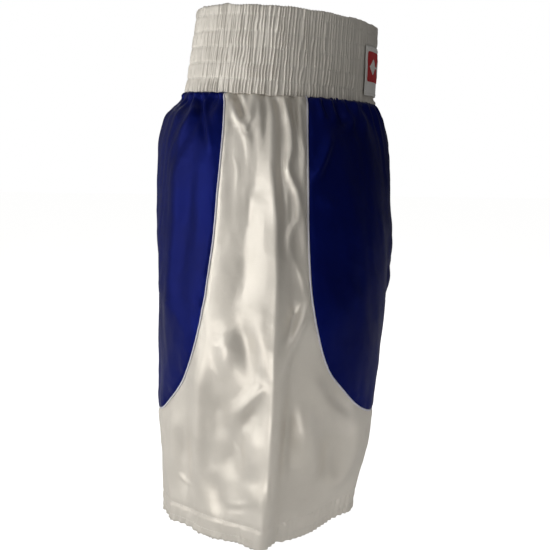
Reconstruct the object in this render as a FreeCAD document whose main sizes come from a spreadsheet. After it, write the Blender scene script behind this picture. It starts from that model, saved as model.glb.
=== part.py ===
import FreeCAD, Part
import os
import math
import Sketcher
from FreeCAD import Vector, Placement, Rotation

# Boxing shorts: a long-cut satin trunk with a deep shirred elastic waistband.
# Frame: millimetres, +Z up, -Y is the wearer's front, +X the wearer's left.
# Origin: centre of the waist seam, where the waistband meets the body panels.
# Each leg has three panels: a white side panel that is narrow at the hip and
# spreads into a full band round the hem, and a blue front and a blue back panel.
# The cloth is a thin shell. Every panel is split at the hip fold, a wedge that
# closes and opens as the leg swings about a cross axis.
# The right half is built first and then mirrored.

os.makedirs("parts", exist_ok=True)
doc = FreeCAD.newDocument("BoxingShorts")

# ------------------------------------------------------------------ dimensions
sheet = doc.addObject("Spreadsheet::Sheet", "Dims")
CELLS = [
    ("cloth", 1.0),            # panel shell thickness
    ("gap_seam", 0.5),         # clearance from the centre plane on each side
    ("gap_cut", 0.35),         # clearance between hip, fold and leg pieces
    ("band_thick", 4.6),       # waistband build-up: two cloth layers and elastic
    ("band_layer", 1.0),       # one casing layer
    ("elastic_gap", 0.25),     # elastic to casing clearance
    ("seam_half_x", 140.0),    # waist seam, half width
    ("seam_half_y", 115.0),    # waist seam, half depth
    ("seam_mid_y", -0.5),
    ("seam_tilt", 3.9),        # degrees; the front of the seam sits lower than the back
    ("top_half_x", 136.0),     # top edge, half width
    ("top_half_y", 108.8),
    ("top_mid_y", -9.8),
    ("top_rise", 93.0),        # band height at the side
    ("top_tilt", 5.6),
    ("hem_level", -495.0),
    ("hem_depth", 24.0),       # turned hem
    ("hinge_level", -242.0),   # hip fold, level with the crotch point
    ("hinge_y", 4.0),
    ("swing_front", 26.0),     # wedge angles, one degree past the joint range
    ("swing_back", 16.0),
    ("split_x", -100.0),       # outer half of the leg, where the side panel flares
    ("band_front_level", -366.0),  # top of the white hem band
    ("band_back_level", -374.0),
    ("inseam_y", -12.0),
    ("press_top", -215.0),     # below this the outer side is pressed towards a crease
    ("press_low", -455.0),
    ("press_front", 0.92),     # how steeply the faces fall away from the crease
    ("press_back", 0.68),
    ("press_share", 0.85),
    ("press_shift", 7.0),      # the crease runs a little in front of the widest line
    ("piping_half", 0.8),
    ("piping_gap", 0.35),
    ("piping_proud", 0.9),
    ("thread_r", 0.35),
    ("label_half_w", 62.0),
    ("label_low", 10.0),
    ("label_high", 66.0),
    ("field_half_w", 57.0),
    ("field_low", 26.0),
    ("field_high", 60.0),
    ("field_round", 3.0),
    ("motif_half", 11.0),
    ("label_thick", 0.8),
    ("row_pitch", 17.0),       # shirring rows
    ("row_first", 15.0),
    ("care_w", 32.0),
    ("care_l", 58.0),
    ("care_t", 0.5),
    ("size_w", 26.0),
    ("size_h", 18.0),
]
for i, (alias, value) in enumerate(CELLS, start=1):
    sheet.set("A%d" % i, alias)
    sheet.set("B%d" % i, str(value))
    sheet.setAlias("B%d" % i, alias)
doc.recompute()


def dim(alias):
    value = sheet.get(alias)
    return float(getattr(value, "Value", value))


# ------------------------------------------------------------------ shared helpers
pieces = {}   # label -> object, everything that is exported


def keep(obj, label):
    obj.Label = label
    pieces[label] = obj
    return obj


def boolean(kind, name, base, tool):
    obj = doc.addObject("Part::" + kind, name)
    obj.Base = base
    obj.Tool = tool
    return obj


def kept_common(name, base, tool, label):
    return keep(boolean("Common", name, base, tool), label)


def feature(name, shape, label):
    obj = doc.addObject("Part::Feature", name)
    obj.Shape = shape
    return keep(obj, label)


def origin_plane(body, role):
    for plane in body.Origin.OriginFeatures:
        if getattr(plane, "Role", "") == role:
            return plane
    raise RuntimeError("no plane " + role)


def sketch_on(body, name, role="XY_Plane"):
    sketch = body.newObject("Sketcher::SketchObject", name)
    sketch.AttachmentSupport = [(origin_plane(body, role), "")]
    sketch.MapMode = "FlatFace"
    return sketch


def closed_curve(points):
    curve = Part.BSplineCurve()
    curve.interpolate(Points=points, PeriodicFlag=True)
    return curve


def lofted_body(name, section_format, sections):
    """A body lofted smoothly through closed sections, given as (offset placement, points)."""
    body = doc.addObject("PartDesign::Body", name)
    sketches = []
    for k, (offset, points) in enumerate(sections):
        sketch = sketch_on(body, name + section_format % k)
        sketch.AttachmentOffset = offset
        sketch.addGeometry(closed_curve(points), False)
        sketches.append(sketch)
    doc.recompute()
    loft = body.newObject("PartDesign::AdditiveLoft", name + "_loft")
    loft.Profile = sketches[0]
    loft.Sections = sketches[1:]
    loft.Ruled = False
    loft.Closed = False
    body.Tip = loft
    doc.recompute()
    return body


def padded(name, outline, plane, start, length):
    """A closed straight-sided outline padded along its plane's normal."""
    body = doc.addObject("PartDesign::Body", name)
    sketch = sketch_on(body, name + "_outline", plane)
    count = len(outline)
    for i in range(count):
        a, b = outline[i], outline[(i + 1) % count]
        sketch.addGeometry(Part.LineSegment(Vector(a[0], a[1], 0), Vector(b[0], b[1], 0)), False)
    for i in range(count):
        sketch.addConstraint(Sketcher.Constraint("Coincident", i, 2, (i + 1) % count, 1))
    sketch.AttachmentOffset = Placement(Vector(0, 0, start), Rotation())
    doc.recompute()
    pad = body.newObject("PartDesign::Pad", name + "_pad")
    pad.Profile = sketch
    pad.Length = length
    body.Tip = pad
    doc.recompute()
    return body


def side_prism(name, outline, x_from, x_to):
    """An outline of (y, z) points padded across the shorts."""
    return padded(name, outline, "YZ_Plane", x_from, x_to - x_from)


def front_prism(name, outline, y_from, y_to):
    """An outline of (x, z) points padded front to back; the plane's normal is -Y."""
    return padded(name, outline, "XZ_Plane", -y_to, y_to - y_from)


# ------------------------------------------------------------------ leg form
# Key levels of the right half, top to hem: level, outer edge, inner edge, front,
# back, then x where front and back reach furthest, and y of the widest side line.
# The panels are lofted past the waist seam and the hem, then trimmed.
LEVELS = [
    # z,    x_out,  x_in,  y_front, y_back,  x_mid,  y_mid
    (14.0, -137.0, 137.0, -117.0, 116.0, 0.0, -9.0),
    (0.0, -141.0, 141.0, -118.0, 117.5, 0.0, -9.5),
    (-25.0, -158.0, 150.0, -128.5, 142.5, -2.0, -11.0),
    (-60.0, -176.0, 146.0, -137.0, 149.5, -8.0, -14.0),
    (-110.0, -192.0, 118.0, -140.0, 147.5, -25.0, -20.0),
    (-170.0, -203.0, 62.0, -142.0, 142.5, -55.0, -22.0),
    (-237.0, -211.0, -1.2, -137.5, 137.5, -85.0, -21.0),
    (-290.0, -215.0, -6.0, -132.5, 135.7, -97.0, -19.0),
    (-310.0, -216.0, -6.5, -130.5, 135.0, -100.0, -18.0),
    (-380.0, -220.0, -7.0, -124.0, 131.0, -108.0, -16.0),
    (-440.0, -222.0, -7.0, -113.0, 127.0, -112.0, -13.0),
    (-500.0, -223.0, -7.0, -100.5, 122.5, -115.0, -11.0),
]
X_IN = 2                  # column of the inner edge
LOFT_STEPS = 15
RING_POINTS = 24
PRESS_FADE = (118.0, 90.0)   # distance from the outer edge where the press starts, is full


def level(z, column):
    """A column of LEVELS at any height, by monotone cubic interpolation."""
    if z >= LEVELS[0][0]:
        return LEVELS[0][column]
    if z <= LEVELS[-1][0]:
        return LEVELS[-1][column]
    depths = [-row[0] for row in LEVELS]
    values = [row[column] for row in LEVELS]
    slopes = [(values[i + 1] - values[i]) / (depths[i + 1] - depths[i])
              for i in range(len(depths) - 1)]
    tangents = [slopes[0]]
    for before, after in zip(slopes, slopes[1:]):
        turning = before * after <= 0
        tangents.append(0.0 if turning else 2 * before * after / (before + after))
    tangents.append(slopes[-1])
    i = next(k for k in range(len(slopes)) if -z <= depths[k + 1])
    width = depths[i + 1] - depths[i]
    u = (-z - depths[i]) / width
    return ((2 * u ** 3 - 3 * u ** 2 + 1) * values[i]
            + (u ** 3 - 2 * u ** 2 + u) * width * tangents[i]
            + (-2 * u ** 3 + 3 * u ** 2) * values[i + 1]
            + (u ** 3 - u ** 2) * width * tangents[i + 1])


def row_at(z):
    """A full row of LEVELS at any height."""
    return (z,) + tuple(level(z, column) for column in range(1, 7))


def eased(start, end, value):
    """Smooth step from 0 at start to 1 at end."""
    t = min(1.0, max(0.0, (value - start) / (end - start)))
    return t * t * (3 - 2 * t)


def press(z, x, y, x_out, y_mid):
    """Pulls the outer side in to flatter faces beside a crease, more towards the hem."""
    from_crease = y - y_mid + dim("press_shift")
    from_edge = x - x_out
    steepness = dim("press_front") if from_crease < 0 else dim("press_back")
    wanted = abs(from_crease) * steepness
    pull = max(0.0, wanted - from_edge) * eased(*PRESS_FADE, from_edge) * dim("press_share")
    return x + pull * eased(dim("press_top"), dim("press_low"), z)


def ring_points(row, inset):
    """Closed section from four quarter ellipses, drawn inset from the cloth's outside."""
    z, x_out, x_in, y_front, y_back, x_mid, y_mid = row
    x_out, x_in = x_out + inset, x_in - inset
    y_front, y_back = y_front + inset, y_back - inset
    points = []
    for k in range(RING_POINTS):
        angle = 2 * math.pi * k / RING_POINTS
        c, s = math.cos(angle), math.sin(angle)
        x = x_mid + (x_in - x_mid) * c if c > 0 else x_mid - (x_out - x_mid) * c
        y = y_mid + (y_back - y_mid) * s if s > 0 else y_mid - (y_front - y_mid) * s
        points.append(Vector(press(z, x, y, x_out, y_mid), y, 0))
    return points


# evenly spaced sections, so the surface doesn't ripple between them
z_top, z_bottom = LEVELS[0][0], LEVELS[-1][0]
SECTIONS = [row_at(z_top + (z_bottom - z_top) * k / LOFT_STEPS) for k in range(LOFT_STEPS + 1)]


def leg_form(name, inset):
    """The right leg and hip as one solid."""
    sections = [(Placement(Vector(0, 0, row[0]), Rotation()), ring_points(row, inset))
                for row in SECTIONS]
    return lofted_body(name, "_sec%02d", sections)


PIPING_DEPTH = 0.2        # piping reaches this far inside the cloth's inner face
cloth = dim("cloth")
form_outer = leg_form("LegOuter", 0.0)
form_inner = leg_form("LegInner", cloth)
form_piping = leg_form("LegPipe", -dim("piping_proud"))
form_piping_inner = leg_form("LegPipeIn", cloth + PIPING_DEPTH)

# ------------------------------------------------------------------ cut regions
X_FAR = -300.0            # beyond the outer side
Y_REACH = 200.0           # beyond front and back, for the panel outlines
Z_OVER = 30.0             # above the panels
SPLIT_LAP = 1.0           # outer and inner region parts overlap by this
INSEAM_HALF_GAP = 0.5     # blue panels and piping stop this far from the inseam
SEAM_POINTS = 36
FRONT, BACK = -1, 1       # which way along Y

split_x = dim("split_x")
x_near = -dim("gap_seam")     # the right half stays on its own side
inseam_y = dim("inseam_y")
hem_level = dim("hem_level")
z_under = hem_level - 40.0

# side seams as (y, z), from the waist down to where they turn level
SEAMS = {
    FRONT: [(-46.0, 20.0), (-47.0, -2.0), (-51.0, -50.0), (-54.0, -100.0),
            (-56.5, -150.0), (-59.0, -190.0), (-63.0, -225.0), (-70.0, -262.0),
            (-80.0, -295.0), (-94.0, -325.0), (-107.0, -347.0), (-116.0, -359.5),
            (-123.4, dim("band_front_level"))],
    BACK: [(45.0, 20.0), (46.0, 3.0), (49.0, -50.0), (54.0, -100.0),
           (59.0, -150.0), (65.0, -190.0), (71.0, -225.0), (79.0, -262.0),
           (90.0, -298.0), (104.0, -331.0), (115.5, -354.0), (122.5, -366.5),
           (129.3, dim("band_back_level"))],
}


def seam_line(side, outward):
    """The smoothed side seam moved outward, away from the white panel (negative: into it)."""
    curve = Part.BSplineCurve()
    curve.interpolate(Points=[Vector(y, z, 0) for y, z in SEAMS[side]])
    first, last = curve.FirstParameter, curve.LastParameter
    points = [curve.value(first + (last - first) * k / (SEAM_POINTS - 1))
              for k in range(SEAM_POINTS)]
    distance = side * outward
    line = []
    for k, point in enumerate(points):
        if k == SEAM_POINTS - 1:
            # the seam runs level where it turns onto the front or the back
            along = Vector(side, 0, 0)
        else:
            along = (points[k + 1] - points[max(0, k - 1)]).normalize()
        line.append((point.x - along.y * distance, point.y + along.x * distance))
    return line


def region(name, outer_outline, inner_outline, inner_suffix="Inner"):
    """A cutting region: one outline outside the split plane, another inside it."""
    outer = side_prism(name + "Outer", outer_outline, X_FAR, split_x)
    inner = side_prism(name + inner_suffix, inner_outline, split_x - SPLIT_LAP, x_near)
    return boolean("Fuse", name + "Region", outer, inner)


def white_region():
    """Between the two side seams, and all round below the top of the hem band."""
    front, back = seam_line(FRONT, -cut_offset), seam_line(BACK, -cut_offset)
    z_front, z_back = front[-1][1], back[-1][1]
    below = [(-Y_REACH, z_front), (-Y_REACH, z_under), (Y_REACH, z_under), (Y_REACH, z_back)]
    return region("White", front + below + back[::-1],
                  below + [(inseam_y, z_back), (inseam_y, z_front)], "Low")


def blue_region(name, side):
    """In front of the front seam, or behind the back seam."""
    line = seam_line(side, cut_offset)
    z_low = line[-1][1]
    y_far, y_near = side * Y_REACH, inseam_y + side * INSEAM_HALF_GAP
    return region(name, line + [(y_far, z_low), (y_far, Z_OVER), (line[0][0], Z_OVER)],
                  [(y_far, Z_OVER), (y_far, z_low), (y_near, z_low), (y_near, Z_OVER)])


def piping_region(name, side):
    """A narrow strip along the seam, running on level to the inseam."""
    lower, upper = seam_line(side, -piping_half), seam_line(side, piping_half)
    z_lower, z_upper = lower[-1][1], upper[-1][1]
    y_far, y_near = side * Y_REACH, inseam_y + side * INSEAM_HALF_GAP
    end = [(y_far, z_lower), (y_far, z_upper)]
    return region(name, lower + end + upper[::-1],
                  end + [(y_near, z_upper), (y_near, z_lower)])


piping_half = dim("piping_half")
cut_offset = piping_half + dim("piping_gap")
white = white_region()
blue = {"Front": blue_region("BlueFront", FRONT), "Back": blue_region("BlueBack", BACK)}
piping = {"Front": piping_region("PipeFront", FRONT), "Back": piping_region("PipeBack", BACK)}

# Zones split the cloth at the hip fold: hip above the wedge, fold in it, leg below.
Y_FAR = 220.0
WAIST_CLEAR = 0.4         # panels stop just under the waist seam
FOLD_START = {"Front": 4.0, "Back": 5.0}   # fold tip to hinge line, along Y
FOLD_DROP = {"Front": 1.5, "Back": 1.2}    # extra clearance under the hip at Y_FAR

gap_cut = dim("gap_cut")
hinge_z, hinge_y = dim("hinge_level"), dim("hinge_y")
seam_slope = math.tan(math.radians(dim("seam_tilt")))
wedge_front_z = hinge_z + (Y_FAR + hinge_y) * math.tan(math.radians(dim("swing_front")))
wedge_back_z = hinge_z + (Y_FAR - hinge_y) * math.tan(math.radians(dim("swing_back")))


def zone(name, outline):
    return side_prism(name, outline, X_FAR, x_near)


hip_zone = zone("HipZone", [
    (-Y_FAR, -seam_slope * Y_FAR - WAIST_CLEAR),
    (Y_FAR, seam_slope * Y_FAR - WAIST_CLEAR),
    (Y_FAR, wedge_back_z + gap_cut),
    (hinge_y, hinge_z + gap_cut),
    (-Y_FAR, wedge_front_z + gap_cut)])
leg_zone = zone("LegZone", [
    (-Y_FAR, hinge_z - gap_cut), (Y_FAR, hinge_z - gap_cut),
    (Y_FAR, hem_level), (-Y_FAR, hem_level)])
fold_zone = {
    "Front": zone("FoldFrontZone", [
        (hinge_y - FOLD_START["Front"], hinge_z),
        (-Y_FAR, wedge_front_z - gap_cut - FOLD_DROP["Front"]),
        (-Y_FAR, hinge_z)]),
    "Back": zone("FoldBackZone", [
        (hinge_y + FOLD_START["Back"], hinge_z),
        (Y_FAR, hinge_z),
        (Y_FAR, wedge_back_z - gap_cut - FOLD_DROP["Back"])]),
}
doc.recompute()

# ------------------------------------------------------------------ panels and piping
shell = boolean("Cut", "ClothShell", form_outer, form_inner)
piping_shell = boolean("Cut", "PipeShell", form_piping, form_piping_inner)
doc.recompute()
hip_shell = boolean("Common", "HipShell", shell, hip_zone)
leg_shell = boolean("Common", "LegShell", shell, leg_zone)
piping_hip = boolean("Common", "PipeHipShell", piping_shell, hip_zone)
piping_leg = boolean("Common", "PipeLegShell", piping_shell, leg_zone)


def inseam_slit():
    """Opens the hem band at the inseam, so that it is a strip whose ends meet there."""
    slit = doc.addObject("Part::Box", "InseamSlit")
    slit.Length, slit.Width, slit.Height = 60.0, 0.8, 600.0
    slit.setExpression("Placement.Base.x", "-60 mm")
    slit.setExpression("Placement.Base.y", "Dims.inseam_y * 1 mm - 0.4 mm")
    slit.setExpression("Placement.Base.z", "-560 mm")
    return slit


def fold_region(stem, cut_region, end):
    """The part of a cutting region inside the front or back fold wedge."""
    return boolean("Common", stem + "Fold" + end, cut_region, fold_zone[end])


def side_panel():
    """White panel: hip, leg with the hem band, and both ends of the fold as one piece."""
    kept_common("SidePanelHipR", hip_shell, white, "side_panel_right_hip")
    closed = boolean("Common", "SideLegClosed", leg_shell, white)
    keep(boolean("Cut", "SidePanelLegR", closed, inseam_slit()), "side_panel_right_leg")
    ends = [boolean("Common", "SideFold" + end, shell, fold_region("White", white, end))
            for end in ("Front", "Back")]
    fold = doc.addObject("Part::Compound", "SideFoldR")
    fold.Links = ends
    keep(fold, "side_panel_right_fold")


def blue_panel(end):
    """Front or back panel: hip, leg and fold."""
    name, label = end + "Panel", end.lower() + "_panel_right_"
    kept_common(name + "HipR", hip_shell, blue[end], label + "hip")
    kept_common(name + "LegR", leg_shell, blue[end], label + "leg")
    kept_common(name + "FoldR", shell, fold_region("Blue", blue[end], end), label + "fold")


def piping_strip(end):
    """Piping along the front or back side seam: hip, fold and leg."""
    name, label = "Piping" + end, "piping_" + end.lower() + "_right_"
    fold = fold_region("Pipe", piping[end], end)
    kept_common(name + "HipR", piping_hip, piping[end], label + "hip")
    kept_common(name + "FoldR", piping_shell, fold, label + "fold")
    kept_common(name + "LegR", piping_leg, piping[end], label + "leg")


side_panel()
for end in ("Front", "Back"):
    blue_panel(end)
    piping_strip(end)
doc.recompute()

# ------------------------------------------------------------------ waistband
# Places on the band are a share of its height, 0 at the waist seam and 1 at the top
# edge, and a growth outwards from the seam's ellipse.
BAND_FACE = 2.0           # growth of the band's outer face
BAND_REACH = (0.006, 1.0)
CUT_REACH = (-0.05, 1.05)     # cutting forms run past both edges


def band_ellipse(share, grow):
    """Half width, half depth, middle y, tilt in degrees and middle height at a share."""
    def between(stem):
        return dim("seam_" + stem) + (dim("top_" + stem) - dim("seam_" + stem)) * share

    mid_y, tilt = between("mid_y"), between("tilt")
    rise = dim("top_rise") * share + math.tan(math.radians(tilt)) * mid_y
    return between("half_x") + grow, between("half_y") + grow, mid_y, tilt, rise


def band_point(share, angle, grow):
    half_x, half_y, mid_y, tilt, rise = band_ellipse(share, grow)
    tilt = math.radians(tilt)
    x, y = half_x * math.cos(angle), half_y * math.sin(angle)
    return Vector(x, mid_y + y * math.cos(tilt), rise + y * math.sin(tilt))


def band_form(name, grow, reach):
    """Solid tilted elliptical form over a (low, high) reach of the band height."""
    sections = []
    for share in reach:
        half_x, half_y, mid_y, tilt, rise = band_ellipse(share, grow)
        angles = [2 * math.pi * i / RING_POINTS for i in range(RING_POINTS)]
        points = [Vector(half_x * math.cos(a), mid_y + half_y * math.sin(a), 0) for a in angles]
        # the section plane is tipped about the cross axis so that the front sits lower
        shift = mid_y * (1 - 1 / math.cos(math.radians(tilt)))
        offset = Placement(Vector(0, shift, rise), Rotation(Vector(1, 0, 0), tilt),
                           Vector(0, mid_y, 0))
        sections.append((offset, points))
    return lofted_body(name, "_sec%d", sections)


def band_ring(name, outer, inner):
    """Outer form less inner form, each given as (name, grow, reach)."""
    return boolean("Cut", name, band_form(*outer), band_form(*inner))


band_inner = BAND_FACE - dim("band_thick")    # growth of the band's inner face
layer, elastic_gap = dim("band_layer"), dim("elastic_gap")


def waistband_casing():
    """Outer and inner layer closed at the top, open at the waist seam."""
    full = band_ring("CasingFull", ("BandOuter", BAND_FACE, BAND_REACH),
                     ("BandInner", band_inner, CUT_REACH))
    cavity = band_ring("Cavity", ("CavityOuter", BAND_FACE - layer, (-0.05, 0.975)),
                       ("CavityInner", band_inner + layer, (-0.1, 1.05)))
    keep(boolean("Cut", "WaistbandCasing", full, cavity), "waistband_casing")


def waistband_elastic():
    """Fills the casing's cavity with clearance all round."""
    outer = ("ElasticOuter", BAND_FACE - layer - elastic_gap, (0.02, 0.965))
    inner = ("ElasticInner", band_inner + layer + elastic_gap, CUT_REACH)
    keep(band_ring("WaistbandElastic", outer, inner), "waistband_elastic")


waistband_casing()
waistband_elastic()
doc.recompute()

# ------------------------------------------------------------------ front label, size label
LABEL_DROP = -8.0         # the front of the band sits this much lower than its side
PATCH_GAP = 0.3           # patch to band
LAYER_GAP = 0.1           # between the label's layers
FIELD_THICK = 0.4
MOTIF_THICK = 0.3
PATCH_ROUND = 1.5
FRONT_Y = (-160.0, -60.0)
BACK_Y = (60.0, 160.0)
SIZE_LOW = 40.0
SIZE_GAP = 0.3            # size label to the band's inner face
SIZE_THICK = 0.6

label_half_w = dim("label_half_w")
label_low, label_high = dim("label_low") + LABEL_DROP, dim("label_high") + LABEL_DROP
field_low, field_high = dim("field_low") + LABEL_DROP, dim("field_high") + LABEL_DROP
patch_grow = BAND_FACE + PATCH_GAP
patch_face = patch_grow + dim("label_thick")


def rounded(half_w, low, high, radius, steps=5):
    """Rectangle with rounded corners, as (x, z) points."""
    points = []
    corners = ((half_w - radius, high - radius, 0), (-half_w + radius, high - radius, 90),
               (-half_w + radius, low + radius, 180), (half_w - radius, low + radius, 270))
    for x, z, start in corners:
        for k in range(steps + 1):
            angle = math.radians(start + 90.0 * k / steps)
            points.append((x + radius * math.cos(angle), z + radius * math.sin(angle)))
    return points


def diamond_chain():
    """A large diamond between two smaller ones, joined by narrow necks."""
    mid_z = (field_low + field_high) / 2
    half = dim("motif_half")
    # x, half height, from the middle to one end
    profile = [(0.0, half), (14.0, 1.0), (27.0, 1.0), (39.0, half - 2.0), (51.0, 0.0)]
    return ([(x, mid_z + h) for x, h in profile]
            + [(x, mid_z - h) for x, h in reversed(profile[:-1])]
            + [(-x, mid_z - h) for x, h in profile[1:]]
            + [(-x, mid_z + h) for x, h in reversed(profile[1:-1])])


def patch(name, grow, thick, outline, y_range, label, stem=None):
    """A thin piece that follows the band, cut to an outline in the front view."""
    stem = stem or name
    ring = band_ring(stem + "Ring", (stem + "Out", grow + thick, BAND_REACH),
                     (stem + "In", grow, CUT_REACH))
    cutter = front_prism(stem + "Cutter", outline, *y_range)
    kept_common(name, ring, cutter, label)


def front_label():
    """A sewn patch, a coloured field on it and a chain of diamonds on the field."""
    field_grow = patch_face + LAYER_GAP
    patch("LabelPatch", patch_grow, dim("label_thick"),
          rounded(label_half_w, label_low, label_high, PATCH_ROUND),
          FRONT_Y, "front_label_patch")
    patch("LabelField", field_grow, FIELD_THICK,
          rounded(dim("field_half_w"), field_low, field_high, dim("field_round")),
          FRONT_Y, "front_label_field")
    patch("LabelMotif", field_grow + FIELD_THICK + LAYER_GAP, MOTIF_THICK,
          diamond_chain(), FRONT_Y, "front_label_motif")


def size_label():
    """Inside the band at the centre back."""
    half_w, high = dim("size_w") / 2, SIZE_LOW + dim("size_h")
    outline = [(-half_w, SIZE_LOW), (half_w, SIZE_LOW), (half_w, high), (-half_w, high)]
    patch("SizeLabel", band_inner - SIZE_GAP - SIZE_THICK, SIZE_THICK, outline,
          BACK_Y, "size_label", stem="Size")


def care_label():
    """A flat tag hanging inside the left hip, just under the waist seam."""
    tag = doc.addObject("Part::Box", "CareLabel")
    tag.setExpression("Length", "Dims.care_t * 1 mm")
    tag.setExpression("Width", "Dims.care_w * 1 mm")
    tag.setExpression("Height", "Dims.care_l * 1 mm")
    corner = Vector(134.0, -dim("care_w") / 2, -1.2 - dim("care_l"))
    tag.Placement = Placement(corner, Rotation())
    keep(tag, "care_label")


front_label()
size_label()
care_label()

# ------------------------------------------------------------------ threads
THREAD_SIDES = 8
BAND_THREAD_GAP = 0.12    # thread to the waistband or label
ROW_COUNT = 5
ROW_STEPS = 60
ROW_OPENING = 0.50        # radians each side of the centre front, left to the label
LABEL_STITCH_INSET = 2.5
LABEL_STITCH_STEPS = 30
HEM_STITCH_LOW = 2.5      # lower row above the hem edge
HEM_STEPS = 110
HEM_THREAD_GAP = 1.0
INSEAM_THREAD_GAP = 0.9
SEAM_THREAD_INSET = 3.2   # rise and waist seam threads, inside the cloth's outer face
WAIST_STEPS = 120

thread_r = dim("thread_r")


def thread_section(point, along):
    """Eight-sided outline round a point, square to the thread."""
    up = Vector(0, 0, 1) if abs(along.z) < 0.9 else Vector(1, 0, 0)
    across = along.cross(up).normalize()
    other = along.cross(across).normalize()
    corners = []
    for k in range(THREAD_SIDES):
        angle = 2 * math.pi * k / THREAD_SIDES
        corners.append(point + across * (thread_r * math.cos(angle))
                       + other * (thread_r * math.sin(angle)))
    return Part.makePolygon(corners + [corners[0]])


def swept_thread(points):
    """A thread swept along a smooth line."""
    curve = Part.BSplineCurve()
    curve.interpolate(Points=points)
    start = curve.FirstParameter
    section = thread_section(curve.value(start), curve.tangent(start)[0])
    sweep = Part.Wire([curve.toShape()]).makePipeShell([section], True, False)
    # the sweep may come back as a solid or only as its faces
    if sweep.Solids:
        return Part.Solid(sweep.Solids[0].Shells[0])
    return Part.Solid(Part.Shell(sweep.Faces))


def cord(points):
    """A thread as a ruled loft through its sections, for the long tight curves."""
    last = len(points) - 1
    sections = []
    for i, point in enumerate(points):
        along = (points[min(i + 1, last)] - points[max(i - 1, 0)]).normalize()
        sections.append(thread_section(point, along))
    return Part.makeLoft(sections, True, True)


def waistband_stitching():
    """Shirring rows round the band, stopping short of the front label."""
    start = -math.pi / 2 + ROW_OPENING
    stop = 1.5 * math.pi - ROW_OPENING
    grow = BAND_FACE + thread_r + BAND_THREAD_GAP
    rows = []
    for k in range(ROW_COUNT):
        share = (dim("row_first") + k * dim("row_pitch")) / dim("top_rise")
        rows.append(swept_thread([band_point(share, start + (stop - start) * i / ROW_STEPS, grow)
                                  for i in range(ROW_STEPS + 1)]))
    feature("WaistbandStitching", Part.makeCompound(rows), "waistband_stitching")


def front_band_point(x, z, grow):
    """The band's front at a given width and height, closing in on the height by steps."""
    share = (z - LABEL_DROP) / dim("top_rise")
    for _ in range(8):
        half_x = band_ellipse(share, grow)[0]
        point = band_point(share, -math.acos(x / half_x), grow)
        share += (z - point.z) / dim("top_rise")
    return point


def label_stitching():
    """Four straight rows just inside the patch edge."""
    half_w = label_half_w - LABEL_STITCH_INSET
    low, high = label_low + LABEL_STITCH_INSET, label_high - LABEL_STITCH_INSET
    grow = patch_face + thread_r + BAND_THREAD_GAP
    corners = [(-half_w, low), (half_w, low), (half_w, high), (-half_w, high)]
    rows = []
    for (xa, za), (xb, zb) in zip(corners, corners[1:] + corners[:1]):
        # rows stop short of the corners, so that they don't touch
        shares = [0.02 + 0.96 * i / LABEL_STITCH_STEPS for i in range(LABEL_STITCH_STEPS + 1)]
        rows.append(cord([front_band_point(xa + (xb - xa) * u, za + (zb - za) * u, grow)
                          for u in shares]))
    feature("LabelStitching", Part.makeCompound(rows), "front_label_stitching")


def leg_ring(z, grow):
    """Points round the right leg, grown off the cloth, open for a short stretch inside."""
    curve = closed_curve(ring_points(row_at(z), -grow))
    first, last = curve.FirstParameter, curve.LastParameter
    points = [curve.value(first + (last - first) * (0.018 + 0.964 * i / HEM_STEPS))
              for i in range(HEM_STEPS + 1)]
    return [Vector(p.x, p.y, z) for p in points]


def hem_stitching():
    """One row at the top of the turned hem and one near its edge."""
    rows = [cord(leg_ring(z, thread_r + HEM_THREAD_GAP))
            for z in (hem_level + dim("hem_depth"), hem_level + HEM_STITCH_LOW)]
    feature("HemStitchingR", Part.makeCompound(rows), "hem_stitching_right")


def inseam_stitching():
    """Down the inseam, just inside the leg's inner wall."""
    inset = cloth + thread_r + INSEAM_THREAD_GAP
    points = [Vector(level(z, X_IN) - inset, inseam_y, z)
              for z in (-262, -300, -340, -380, -420, -460, -490)]
    feature("InseamStitchingR", cord(points), "inseam_stitching_right")


def rise_stitching():
    """On the centre plane inside the cloth, one thread at the front and one at the back."""
    front, back = [], []
    for k in range(24):
        z, _, x_in, y_front, y_back, x_mid, y_mid = row_at(-12.0 - 6.0 * k)
        # how far the section's quarter ellipse has reached where it crosses x = 0
        reach = math.sqrt(1 - (x_mid / (x_in - x_mid)) ** 2)
        front.append(Vector(0, y_mid + (y_front - y_mid) * reach + SEAM_THREAD_INSET, z))
        back.append(Vector(0, y_mid + (y_back - y_mid) * reach - SEAM_THREAD_INSET, z))
    feature("RiseSeamStitching", Part.makeCompound([cord(front), cord(back)]),
            "rise_seam_stitching")


def waist_seam_stitching():
    """Overlock thread round the inside, just under the casing, open at the centre back."""
    half_x = dim("seam_half_x") - SEAM_THREAD_INSET
    half_y = dim("seam_half_y") - SEAM_THREAD_INSET
    points = []
    for i in range(WAIST_STEPS + 1):
        angle = math.pi / 2 + 0.01 + (2 * math.pi - 0.02) * i / WAIST_STEPS
        y = half_y * math.sin(angle) - 1
        points.append(Vector(half_x * math.cos(angle), y, seam_slope * y - 2.2))
    feature("WaistSeamStitching", cord(points), "waist_seam_stitching")


waistband_stitching()
label_stitching()
hem_stitching()
inseam_stitching()
rise_stitching()
waist_seam_stitching()
doc.recompute()

# ------------------------------------------------------------------ left side
for label in [k for k in pieces if "_right" in k]:
    source = pieces[label]
    mirror = doc.addObject("Part::Mirroring", source.Name + "Mirror")
    mirror.Source = source
    mirror.Base = Vector(0, 0, 0)
    mirror.Normal = Vector(1, 0, 0)
    keep(mirror, label.replace("_right", "_left"))
doc.recompute()

# ------------------------------------------------------------------ checks and export
failed = [(obj.Name, obj.State) for obj in doc.Objects
          if any(state in ("Invalid", "Error") for state in obj.State)]
if failed:
    raise SystemExit("failed objects: %s" % failed)
for label, obj in pieces.items():
    shape = obj.Shape
    if (shape.isNull() or not shape.isValid() or not shape.Solids
            or any(solid.Volume <= 0 for solid in shape.Solids)):
        raise SystemExit("bad shape: " + label)

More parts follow.
